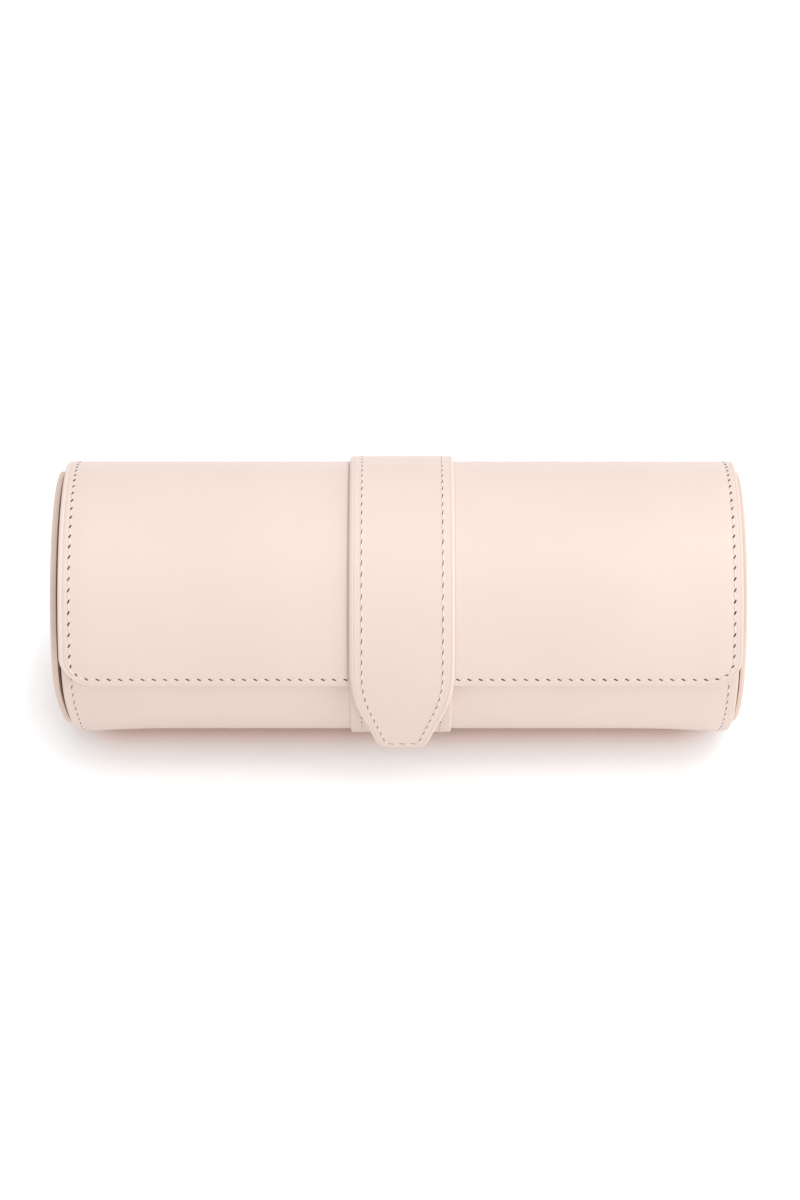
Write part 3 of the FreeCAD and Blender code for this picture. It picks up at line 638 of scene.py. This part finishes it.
def at_flap_edge(middle, part):
    return middle.z < -flap_reach + NEAR


def mark_strap_edge(panel, x, reach, depth):
    """Presses the line that the strap's edge leaves on the flap, a valley along Z."""
    slice_at(panel, x - reach, x, x + reach)
    start, stop = STITCH_INSET / 2 - flap_reach, 3 * FOLD_LOW
    choose(panel, "VERT", lambda middle, vertex: abs(middle.x - x) < NEAR and start < middle.z < stop)
    bpy.ops.transform.translate(value=(0, depth, 0))


def widen_left_margin(panel, extra):
    """Stretches the margin outside the left row of stitches, which was cut a little wider."""
    start = 0.7 * STITCH_INSET - roll_half
    choose(panel, "VERT", lambda middle, vertex: middle.x < start)
    stretch = 1 + extra / (roll_half + start)
    bpy.ops.transform.resize(value=(stretch, 1, 1), center_override=(start, 0, 0))


def wrap_flap(piece, depth, thickness):
    """Bends a layer on both circles and lays it on the roll."""
    bend(piece, -flap_reach, 0, flap_radius)
    bend(piece, 0, back_reach, roll_radius)
    lay_on(piece, roll_axis, roll_radius, fold_angle, FLAP_ASIDE)
    stand_flat(piece, depth, thickness)
    settle(piece)
    smooth(piece)


flap_back = cut_panel("flap_and_back", roll_half, -flap_reach, back_reach)
round_corners(flap_back, at_flap_edge, FLAP_CORNER)
press_line(flap_back, EDGE_CREASE, CREASE_HALF, depth=0.15 * MM)
press_line(flap_back, STITCH_INSET - EDGE_CREASE - CREASE_HALF, CHANNEL_HALF, CHANNEL_DEPTH)
widen_left_margin(flap_back, LEFT_MARGIN)
score(flap_back, ROUND, -flap_reach, back_reach, count=64)
score(flap_back, ROUND, FOLD_LOW, FOLD_HIGH, FOLD_STRIPS)
score(flap_back, ALONG, -roll_half, roll_half, ALONG_STRIPS)
mark_strap_edge(flap_back, strap_left - 0.1 * MM, reach=0.85 * MM, depth=0.42 * MM)
thicken(flap_back, LEATHER, OUTER_ROUND, INNER_ROUND, (blush_leather, edge_paint_and_shade))
wrap_flap(flap_back, 0, LEATHER)

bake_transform(flap_back)
hand_over(flap_back, "blush_leather", "flap_leather", "flap_board")

# %% [markdown]
# ## Outer leather: the front wall
# The front wall runs from the seam under the roll up to the lip that the flap covers. It is a
# second panel, thicker because a board stiffens it, and its edge is painted where the layers show, in a
# darker colour that is partly painted shade.

# %% Front leather
LIP_ANGLE = math.radians(28)
WALL = 2.1 * MM
FRONT_HALF = roll_half - 0.1 * MM
FRONT_ASIDE = 0.45 * MM
FRONT_INSET = 2.85 * MM
front_low = -roll_radius * math.radians(90)
front_high = roll_radius * LIP_ANGLE


def wrap_front(piece, depth, thickness):
    bend(piece, front_low, front_high, roll_radius)
    lay_on(piece, roll_axis, roll_radius, 0, FRONT_ASIDE)
    stand_flat(piece, depth, thickness)
    settle(piece)
    smooth(piece)


front_wall = cut_panel("front_wall", FRONT_HALF, front_low, front_high)
press_line(front_wall, FRONT_INSET, CHANNEL_HALF, CHANNEL_DEPTH)
score(front_wall, ROUND, front_low, front_high, count=32)
score(front_wall, ALONG, -roll_half, roll_half, ALONG_STRIPS)
thicken(front_wall, WALL, OUTER_ROUND, INNER_ROUND, (blush_leather, edge_paint_and_shade))
wrap_front(front_wall, 0, WALL)
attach(front_wall, "tub")
hand_over(front_wall, "blush_leather", "body_wrap", "body_board")

# %% [markdown]
# ## Lining
# Suede is glued inside both panels, cut a little smaller so that a margin of leather shows. The
# flap's lining follows the same fold as its leather, so it gets the same blend.

# %% Suede lining
LINING = 0.5 * MM
LINING_MARGIN = 0.8 * MM


def line_panel(name, low, high, depth, corner=0):
    lining = cut_panel(name, roll_half - LINING_MARGIN, low, high, depth)
    if corner:
        round_corners(lining, lambda middle, vertex: middle.z < low + NEAR, corner)
    score(lining, ROUND, low, high, count=56)
    score(lining, ALONG, -roll_half, roll_half, ALONG_STRIPS)
    thicken(lining, LINING, 0, INNER_ROUND, (suede,), steps=2)
    return lining


flap_lining = line_panel(
    "flap_and_back_lining", -flap_reach + LINING_MARGIN, back_reach, LEATHER, FLAP_CORNER)
score(flap_lining, ROUND, FOLD_LOW, FOLD_HIGH, FOLD_STRIPS)
wrap_flap(flap_lining, LEATHER, LINING)
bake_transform(flap_lining)
hand_over(flap_lining, "suede_lining", "flap_lining")

front_lining = line_panel("front_lining", front_low, front_high - LINING_MARGIN, WALL)
wrap_front(front_lining, WALL, LINING)
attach(front_lining, "tub")
hand_over(front_lining, "suede_lining", "body_lining")

# %% [markdown]
# ## Closing strap
# The strap is two leathers thick with a crowned edge and a crease pressed along it. It is sewn to
# the flap at the back and free from its own fold line to the tip, which tapers from round shoulders.
# Its flat's zero is the front of the roll. Below that it hangs straight off the curve, so the bend
# stops short of the tip.

# %% Strap leather
STRAP = 1.5 * MM
ANCHOR_END_ANGLE = math.radians(160)
STRAP_STRAIGHT_ANGLE = math.radians(-7)
STRAP_STRAIGHT = 16.4 * MM
STRAP_TAPER = 26.5 * MM
TIP_HALF = 7.2 * MM
SHOULDER_ROUND, TIP_ROUND, ANCHOR_ROUND = 8.0 * MM, 2.2 * MM, 2.0 * MM
STRAP_INSET = 3.8 * MM
STRAP_CREASE = 1.4 * MM
strap_top = strap_radius * ANCHOR_END_ANGLE
strap_straight = strap_radius * STRAP_STRAIGHT_ANGLE
strap_tip = strap_straight - STRAP_STRAIGHT
strap_shoulder = strap_tip + STRAP_TAPER

strap = cut_panel("closing_strap", STRAP_HALF, strap_shoulder, strap_top)
choose(strap, "EDGE", lambda middle, edge: middle.z < strap_shoulder + NEAR)
bpy.ops.mesh.extrude_region_move(TRANSFORM_OT_translate={"value": (0, 0, -STRAP_TAPER)})
bpy.ops.transform.resize(value=(TIP_HALF / STRAP_HALF, 1, 1))
choose(strap, "EDGE", lambda middle, edge: abs(middle.z - strap_shoulder) < NEAR)
bpy.ops.mesh.dissolve_edges(use_verts=False)
round_corners(strap, lambda middle, vertex: abs(middle.z - strap_shoulder) < NEAR, SHOULDER_ROUND)
round_corners(strap, lambda middle, vertex: middle.z < strap_tip + NEAR, TIP_ROUND)
round_corners(strap, lambda middle, vertex: middle.z > strap_top - NEAR, ANCHOR_ROUND)
press_line(strap, STRAP_CREASE, CREASE_HALF, depth=0.16 * MM)
score(strap, ROUND, strap_tip, strap_top, count=56)
thicken(strap, STRAP, outer_round=1.05 * MM, inner_round=0.4 * MM, finishes=(blush_leather, blush_leather))
bend(strap, strap_straight, strap_top, strap_radius)
lay_on(strap, flap_axis, strap_radius, 0, STRAP_ASIDE)
smooth(strap)

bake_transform(strap)
hand_over(strap, "blush_leather", "strap_leather", "strap_lining", "strap_anchor")

# %% [markdown]
# ## Landing patch
# A narrow strip of the same leather is sewn to the front wall under the strap's tip. It carries the
# fixed half of the clasp. Its top stops just under the edge of the flap, so that the flap can pass,
# and its squared lower end shows beside the strap.

# %% Patch leather
PATCH_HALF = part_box("landing_patch")[1].x
PATCH_INSET = 3.4 * MM
PATCH_ASIDE = 0.7 * MM
PATCH_TOP_ANGLE, PATCH_LOW_ANGLE = math.radians(6.8), math.radians(-62)
patch_high = patch_radius * PATCH_TOP_ANGLE
patch_low = patch_radius * PATCH_LOW_ANGLE

patch = cut_panel("landing_patch_leather", PATCH_HALF, patch_low, patch_high)
press_line(patch, PATCH_INSET, half_width=0.6 * MM, depth=0.08 * MM)
score(patch, ROUND, patch_low, patch_high, count=20)
thicken(patch, PATCH, outer_round=0.6 * MM, inner_round=0.1 * MM, finishes=(blush_leather, blush_leather))
bend(patch, patch_low, patch_high, patch_radius)
lay_on(patch, roll_axis, patch_radius, 0, PATCH_ASIDE)
settle(patch)
smooth(patch)
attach(patch, "tub")
hand_over(patch, "blush_leather", "landing_patch")

# %% [markdown]
# ## Stitching
# Every leather edge is saddle-stitched: an iron pricks a row of slanted slits, and the thread lies
# between them. Two irons were used, a broad one on the flap and a fine one elsewhere, so two
# stitches are modelled, each a thread and its slit, and copied along chalk lines drawn on the flat
# panels. Each row is then bent exactly as its panel was. A slit is a flat dark sheet on the leather:
# its dark colour is painted shade, standing for the shadow inside a real slit.

# %% One stitch
STITCH_PITCH = 3.4 * MM
THREAD_HALVES = (0.26 * MM, 0.25 * MM, 0.95 * MM)
THREAD_PROUD, THREAD_FLAT = 0.02 * MM, 0.03 * MM
SLIT_HALF_DEPTH = 0.05 * MM


def model_stitch(name, slit_half_width, slit_half_length, slant, proud):
    start_clean()
    bpy.ops.mesh.primitive_uv_sphere_add(segments=8, ring_count=6, radius=1.0)
    strand = bpy.context.object
    strand.name = name
    strand.scale = THREAD_HALVES
    strand.location = (0, -THREAD_PROUD, -STITCH_PITCH / 2)
    strand.data.materials.append(thread)
    bpy.ops.object.transform_apply()
    choose(strand, "VERT", lambda middle, vertex: middle.y > THREAD_FLAT)
    bpy.ops.transform.resize(value=(1, 0.2, 1), center_override=(0, THREAD_FLAT, 0))
    start_clean()
    # The slit is a flattened sphere in the dark slit finish, painted shade for the inside of a hole.
    bpy.ops.mesh.primitive_uv_sphere_add(segments=8, ring_count=4, radius=1.0)
    hole = bpy.context.object
    hole.scale = (slit_half_width, SLIT_HALF_DEPTH, slit_half_length)
    hole.location = (0, -proud, 0)
    hole.rotation_euler = (0, math.radians(slant), 0)
    hole.data.materials.append(slit_shade_finish)
    bpy.ops.object.transform_apply()
    join((strand, hole))
    smooth(strand, 80)
    return strand


flap_stitch = model_stitch(
    "flap_stitch", slit_half_width=0.25 * MM, slit_half_length=0.76 * MM, slant=30, proud=0.05 * MM)
fine_stitch = model_stitch(
    "fine_stitch", slit_half_width=0.14 * MM, slit_half_length=1.0 * MM, slant=10, proud=0.0)
print("one stitch:", len(flap_stitch.data.polygons), "faces")


# %% Chalk lines and rows
def chalk_line(marks, steps=8):
    """A line through the marks (x, z, turn), each of them rounded on about its turn."""
    corners = [Vector((x, z)) for x, z, turn in marks]
    line = [corners[0]]
    for before, corner, after, mark in zip(corners, corners[1:], corners[2:], marks[1:]):
        turn = mark[2]
        start = corner + (before - corner).normalized() * turn
        end = corner + (after - corner).normalized() * turn
        for i in range(steps + 1):
            t = i / steps
            line.append(start * (1 - t) ** 2 + corner * 2 * t * (1 - t) + end * t ** 2)
    line.append(corners[-1])
    return line


def even_places(line, pitch):
    """Evenly spaced points on the line, each with the way the line runs there."""
    total = sum((b - a).length for a, b in zip(line, line[1:]))
    count = round(total / pitch)
    places, walked, index = [], 0.0, 0
    for i in range(count):
        target = (i + 0.5) * total / count
        while index < len(line) - 2 and walked + (line[index + 1] - line[index]).length < target:
            walked += (line[index + 1] - line[index]).length
            index += 1
        way = (line[index + 1] - line[index]).normalized()
        places.append((line[index] + way * (target - walked), way))
    return places


def sew(name, line, depth, stitch=fine_stitch):
    """Copies the stitch along the line, and joins the copies into one row."""
    copies = []
    for place, way in even_places(line, STITCH_PITCH):
        copy = stitch.copy()
        copy.data = stitch.data.copy()
        copy.location = (place.x, depth, place.y)
        copy.rotation_euler = (0, math.atan2(way.x, way.y), 0)
        scene.collection.objects.link(copy)
        copies.append(copy)
    row = join(copies)
    row.name = name
    bpy.ops.object.transform_apply()
    print(name, len(copies), "stitches")
    return row


# %% Rows on the flap, the back and the front wall
PRESSED = 0.1 * MM
SHORT_OF_SEAM = 16 * MM
FRONT_TURN = 0.5 * MM
row_side = roll_half - STITCH_INSET
flap_row_low = -flap_reach + STITCH_INSET
flap_row_turn = FLAP_CORNER - STITCH_INSET
flap_row = sew("flap_stitches", chalk_line((
    (-row_side, 0, 0), (-row_side, flap_row_low, flap_row_turn),
    (row_side, flap_row_low, flap_row_turn), (row_side, 0, 0))), PRESSED, flap_stitch)
bend(flap_row, -flap_reach, 0, flap_radius)
lay_on(flap_row, roll_axis, roll_radius, fold_angle, FLAP_ASIDE)
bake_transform(flap_row)

for side, x in (("left", -row_side), ("right", row_side)):
    back_line = chalk_line(((x, 0, 0), (x, back_reach - SHORT_OF_SEAM, 0)))
    back_row = sew(side + "_back_stitches", back_line, PRESSED, flap_stitch)
    bend(back_row, 0, back_reach, roll_radius)
    lay_on(back_row, roll_axis, roll_radius, fold_angle, FLAP_ASIDE)
    settle(back_row)
    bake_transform(back_row)

front_row_low = front_low + SHORT_OF_SEAM
front_row_high = front_high - FRONT_INSET
front_side = FRONT_HALF - FRONT_INSET
front_row = sew("front_stitches", chalk_line((
    (-front_side, front_row_low, 0), (-front_side, front_row_high, FRONT_TURN),
    (front_side, front_row_high, FRONT_TURN), (front_side, front_row_low, 0))), PRESSED)
bend(front_row, front_low, front_high, roll_radius)
lay_on(front_row, roll_axis, roll_radius, 0, FRONT_ASIDE)
settle(front_row)
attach(front_row, "tub")

# %% Rows on the strap and the patch
ANCHOR_TURN, SHOULDER_TURN, TIP_TURN = 1.8 * MM, 7 * MM, 1.6 * MM
PATCH_TURN = 0.8 * MM
strap_side = STRAP_HALF - STRAP_INSET
tip_side = TIP_HALF - 0.6 * STRAP_INSET
strap_row_low = strap_tip + 0.65 * STRAP_INSET
strap_row_shoulder = strap_shoulder + 0.6 * MM
strap_row_high = strap_top - STRAP_INSET
strap_row = sew("strap_stitches", chalk_line((
    (0, strap_row_high, 0), (-strap_side, strap_row_high, ANCHOR_TURN),
    (-strap_side, strap_row_shoulder, SHOULDER_TURN), (-tip_side, strap_row_low, TIP_TURN),
    (tip_side, strap_row_low, TIP_TURN), (strap_side, strap_row_shoulder, SHOULDER_TURN),
    (strap_side, strap_row_high, ANCHOR_TURN), (0, strap_row_high, 0))), depth=0.0)
bend(strap_row, strap_straight, strap_top, strap_radius)
lay_on(strap_row, flap_axis, strap_radius, 0, STRAP_ASIDE)
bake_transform(strap_row)

patch_side = PATCH_HALF - PATCH_INSET
patch_row_low, patch_row_high = patch_low + PATCH_INSET, patch_high - 1 * MM
patch_row = sew("patch_stitches", chalk_line((
    (-patch_side, patch_row_high, 0), (-patch_side, patch_row_low, PATCH_TURN),
    (patch_side, patch_row_low, PATCH_TURN), (patch_side, patch_row_high, 0))), PRESSED)
bend(patch_row, patch_low, patch_high, patch_radius)
lay_on(patch_row, roll_axis, patch_radius, 0, PATCH_ASIDE)
settle(patch_row)
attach(patch_row, "tub")
for helper in (flap_stitch, fine_stitch):
    bpy.data.objects.remove(helper)

# %% [markdown]
# ## End covers
# Each end is a shallow leather cup pressed over a board and pushed into the mouth of the wall. Its
# rim stands a little proud with a raw edge, and a dark gap parts it from the wall. The face has a
# crease near the rim and is very slightly domed, so it is extruded in small steps. One cup is
# modelled and copied before the gap is cut, because the left one stands further out of the wall.
# Inside, a disc of suede hides the board. Both go through the settling cage, so the feet lean in.


# %% Round plates
PLATE_POINTS = 144
GAP_DEPTH = 7.0 * MM
RIM_ROUND = 0.6 * MM


def plate(name, radius, low, x):
    """A round plate with a flat to stand on, as a filled circle that faces +X."""
    start_clean()
    bpy.ops.mesh.primitive_circle_add(
        vertices=PLATE_POINTS, radius=radius, fill_type="NGON",
        location=(x, 0, roll_axis.z), rotation=(0, math.pi / 2, 0))
    disc = bpy.context.object
    disc.name = name
    bpy.ops.object.transform_apply()
    choose(disc, "FACE", everything)
    bpy.ops.mesh.bisect(plane_co=(x, 0, low), plane_no=(0, 0, 1), clear_inner=True)
    bpy.ops.mesh.select_all(action="SELECT")
    bpy.ops.mesh.remove_doubles(threshold=0.3 * MM)
    return disc


def pull_out(disc, length):
    """Extrudes the plate along X and turns its faces outwards."""
    choose(disc, "FACE", everything)
    bpy.ops.mesh.extrude_region_move(TRANSFORM_OT_translate={"value": (length, 0, 0)})
    bpy.ops.mesh.select_all(action="SELECT")
    bpy.ops.mesh.normals_make_consistent(inside=False)


def round_rim(disc, x, rounding, steps=4):
    choose(disc, "EDGE", lambda middle, edge: abs(middle.x - x) < NEAR)
    bpy.ops.mesh.bevel(offset=rounding, segments=steps, affect="EDGES")


def is_round(face):
    """True for the broad face of a plate."""
    return len(face.verts) > PLATE_POINTS / 2


def cut_groove(disc, near, far, depth):
    """Sinks a groove into the plate's rim, between two places along X."""
    slice_at(disc, near, far)
    choose(disc, "FACE", lambda middle, face: near < middle.x < far and abs(face.normal.x) < 0.5)
    bpy.ops.mesh.extrude_region_shrink_fatten(TRANSFORM_OT_shrink_fatten={"value": -depth})


def finish_cup(cup, gap):
    """Leaves a gap between the wall and the rim, and rounds the rim, which shows the raw leather."""
    cut_groove(cup, roll_half + gap[0], roll_half + gap[1], GAP_DEPTH)
    round_rim(cup, cup_face, RIM_ROUND)
    cup.data.materials.append(raw_edge)
    choose(cup, "FACE", lambda middle, face: middle.x > roll_half and face.normal.x < 0.8)
    cup.active_material_index = 1
    bpy.ops.object.material_slot_assign()
    smooth(cup, 40)


def swell(disc, steps):
    """Extrudes the face towards +X again and again, a little out and a share smaller each time."""
    choose(disc, "FACE", lambda middle, face: face.normal.x > 0.99 and is_round(face))
    for share, lift in steps:
        bpy.ops.mesh.extrude_region_move(TRANSFORM_OT_translate={"value": (lift * MM, 0, 0)})
        bpy.ops.transform.resize(value=(1, share, share), center_override=roll_axis)


def copy_piece(piece, name, shift=0.0):
    """A copy with its own mesh, moved along the roll. It needs object mode, to hold the last edits."""
    start_clean()
    copy = piece.copy()
    copy.data = piece.data.copy()
    copy.name = name
    scene.collection.objects.link(copy)
    work_on(copy)
    copy.location = (shift, 0, 0)
    bpy.ops.object.transform_apply()
    return copy


def turn_round(piece):
    """Half a turn about the upright axis, which takes a right-hand piece to the left."""
    work_on(piece)
    piece.rotation_euler = (0, 0, math.pi)
    bpy.ops.object.transform_apply()


# %% End cups
cup_low, cup_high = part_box("right_end_cover")
lining_low, lining_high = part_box("right_end_lining")
CUP_DOME = (
    (0.95, 0.06), (0.993, -0.15), (0.993, 0.15), (0.93, 0.12), (0.83, 0.14), (0.68, 0.1), (0.45, 0.05))
RIM_PROUD = 0.8 * MM
CUP_WALL = 1.2 * MM
LEFT_GAP, RIGHT_GAP = (-0.6 * MM, 0.75 * MM), (0.1 * MM, 1.05 * MM)
cup_face = cup_high.x + RIM_PROUD - sum(lift for share, lift in CUP_DOME) * MM

right_cup = plate("right_end_cup", cup_high.y, cup_low.z, cup_low.x)
right_cup.data.materials.append(blush_leather)
pull_out(right_cup, cup_face - cup_low.x)
choose(right_cup, "FACE", lambda middle, face: face.normal.x < -0.99 and is_round(face))
bpy.ops.mesh.inset(thickness=CUP_WALL)
bpy.ops.mesh.extrude_region_move(TRANSFORM_OT_translate={"value": (lining_high.x - cup_low.x, 0, 0)})
swell(right_cup, CUP_DOME)
left_cup = copy_piece(right_cup, "left_end_cup")
finish_cup(right_cup, RIGHT_GAP)
finish_cup(left_cup, LEFT_GAP)
turn_round(left_cup)

right_disc = plate("right_end_suede", lining_high.y, lining_low.z, lining_low.x)
right_disc.data.materials.append(suede)
pull_out(right_disc, lining_high.x - lining_low.x)
score(right_disc, (0, 0, 1), lining_low.z, lining_high.z, count=12)
left_disc = copy_piece(right_disc, "left_end_suede")
turn_round(left_disc)

for side, cup, disc in (("left", left_cup, left_disc), ("right", right_cup, right_disc)):
    settle(cup)
    settle(disc)
    smooth(disc)
    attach(cup, "tub")
    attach(disc, "tub")
    hand_over(cup, "blush_leather", side + "_end_cover", side + "_end_board")
    hand_over(disc, "suede_lining", side + "_end_lining")
bpy.data.objects.remove(settling_cage)

# %% [markdown]
# ## Dividers
# Two boards wrapped in suede part the roll into three bays. Wrapping rounds their rims, so the
# model does too: one plate, rounded all the way over, and a copy.

# %% Dividers
DIVIDER_ROUND = 1.3 * MM
divider_low, divider_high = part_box("left_divider_suede")
left_divider = plate("left_divider", divider_high.y, divider_low.z, divider_low.x)
left_divider.data.materials.append(suede)
pull_out(left_divider, divider_high.x - divider_low.x)
round_rim(left_divider, divider_low.x, DIVIDER_ROUND)
round_rim(left_divider, divider_high.x, DIVIDER_ROUND)
smooth(left_divider, 60)
right_divider = copy_piece(left_divider, "right_divider")
turn_round(right_divider)
for side, divider in (("left", left_divider), ("right", right_divider)):
    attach(divider, "tub")
    hand_over(divider, "suede_lining", side + "_divider_board", side + "_divider_suede")

# %% [markdown]
# ## Watch cushions
# Each bay holds a soft roll that a watch is buckled round. Foam in a sewn sleeve swells between its
# seams, which no primitive does, so a slightly small drum is remeshed and blown up as cloth with
# pressure inside. How far a point may move is capped, so the cushion stays in its bay. A cord of
# piping covers the seam at each end. One cushion is made, and the outer two are copies.

# %% One cushion
sleeve_low, sleeve_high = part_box("middle_cushion_sleeve")
cushion_axis_z = (sleeve_low.z + sleeve_high.z) / 2
cushion_radius = (sleeve_high.z - sleeve_low.z) / 2
END_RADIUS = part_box("middle_cushion_ends")[1].y
SWELL_CAP = 3.0 * MM
DRUM_THINNER, DRUM_SHORTER, DRUM_ROUND = 2.2 * MM, 2.6 * MM, 2.0 * MM
VOXEL = 4.0 * MM

start_clean()
bpy.ops.mesh.primitive_cylinder_add(
    vertices=64, radius=cushion_radius - DRUM_THINNER, depth=2 * sleeve_high.x - DRUM_SHORTER,
    location=(0, 0, cushion_axis_z), rotation=(0, math.pi / 2, 0))
middle_cushion = bpy.context.object
middle_cushion.name = "middle_cushion"
bpy.ops.object.transform_apply()
choose(middle_cushion, "EDGE", lambda middle, edge: edge.calc_face_angle(0) > 1)
bpy.ops.mesh.bevel(offset=DRUM_ROUND, segments=3, affect="EDGES")
finish_with(middle_cushion, "REMESH", mode="VOXEL", voxel_size=VOXEL)
resting = [vertex.co.copy() for vertex in middle_cushion.data.vertices]
print("cushion before it swells:", len(resting), "points")


# %% Blow the cushion up
PRESSURE = 4.0
SWELL_FRAMES = 20


def blow_up(cushion):
    work_on(cushion)
    cloth = cushion.modifiers.new("cloth", "CLOTH")
    cloth.settings.use_pressure = True
    cloth.settings.uniform_pressure_force = PRESSURE
    cloth.settings.effector_weights.gravity = 0
    for frame_number in range(1, SWELL_FRAMES + 1):
        scene.frame_set(frame_number)
    bpy.ops.object.modifier_apply(modifier="cloth")
    scene.frame_set(1)


def cap_moves(cushion, rest, cap):
    """Holds each point within the cap, and tells how far the furthest one went."""
    furthest = 0.0
    for vertex, place in zip(cushion.data.vertices, rest):
        move = vertex.co - place
        furthest = max(furthest, move.length)
        if move.length > cap:
            vertex.co = place + move.normalized() * cap
    return furthest


blow_up(middle_cushion)
furthest_move = cap_moves(middle_cushion, resting, SWELL_CAP)
print("furthest move before the cap, mm:", round(furthest_move / MM, 2))
finish_with(middle_cushion, "SUBSURF", levels=1, render_levels=1)
middle_cushion.data.materials.append(cushion_suede)
smooth(middle_cushion, 80)

# %% Piping and copies
PIPING_RADIUS, PIPING_IN = 0.9 * MM, 1.6 * MM

for x in (-sleeve_high.x + PIPING_IN, sleeve_high.x - PIPING_IN):
    start_clean()
    bpy.ops.mesh.primitive_torus_add(
        major_radius=END_RADIUS, minor_radius=PIPING_RADIUS, major_segments=72, minor_segments=10,
        location=(x, 0, cushion_axis_z), rotation=(0, math.pi / 2, 0))
    piping = bpy.context.object
    bpy.ops.object.transform_apply()
    piping.data.materials.append(cushion_suede)
    smooth(piping, 80)
    join((middle_cushion, piping))

bay_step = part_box("right_cushion_sleeve")[1].x - sleeve_high.x
left_cushion = copy_piece(middle_cushion, "left_cushion", shift=-bay_step)
right_cushion = copy_piece(middle_cushion, "right_cushion", shift=bay_step)
for side, cushion in (("left", left_cushion), ("middle", middle_cushion), ("right", right_cushion)):
    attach(cushion, "tub")
    layers = (side + "_cushion" + layer for layer in ("_core", "_sleeve", "_ends"))
    hand_over(cushion, "suede_lining", *layers)

# %% [markdown]
# ## Clasp
# The clasp is a pair of thin nickel discs, one in the strap and one on the patch, each held by a
# rivet and a washer. Their measured shapes are right as they are, so they only get their finish.

# %% Nickel discs
for name in ("clasp_plate", "clasp_plate_washer", "clasp_magnet", "clasp_magnet_washer"):
    disc = frame["nodes"][name]
    disc.data.materials.clear()
    disc.data.materials.append(nickel)
    print(name, "in", nickel.name)

# %% [markdown]
# ## The end
# The dressed roll has to stay in the measured box. At the end, edit mode is left and nothing stays
# selected.

# %% Finish
start_clean()
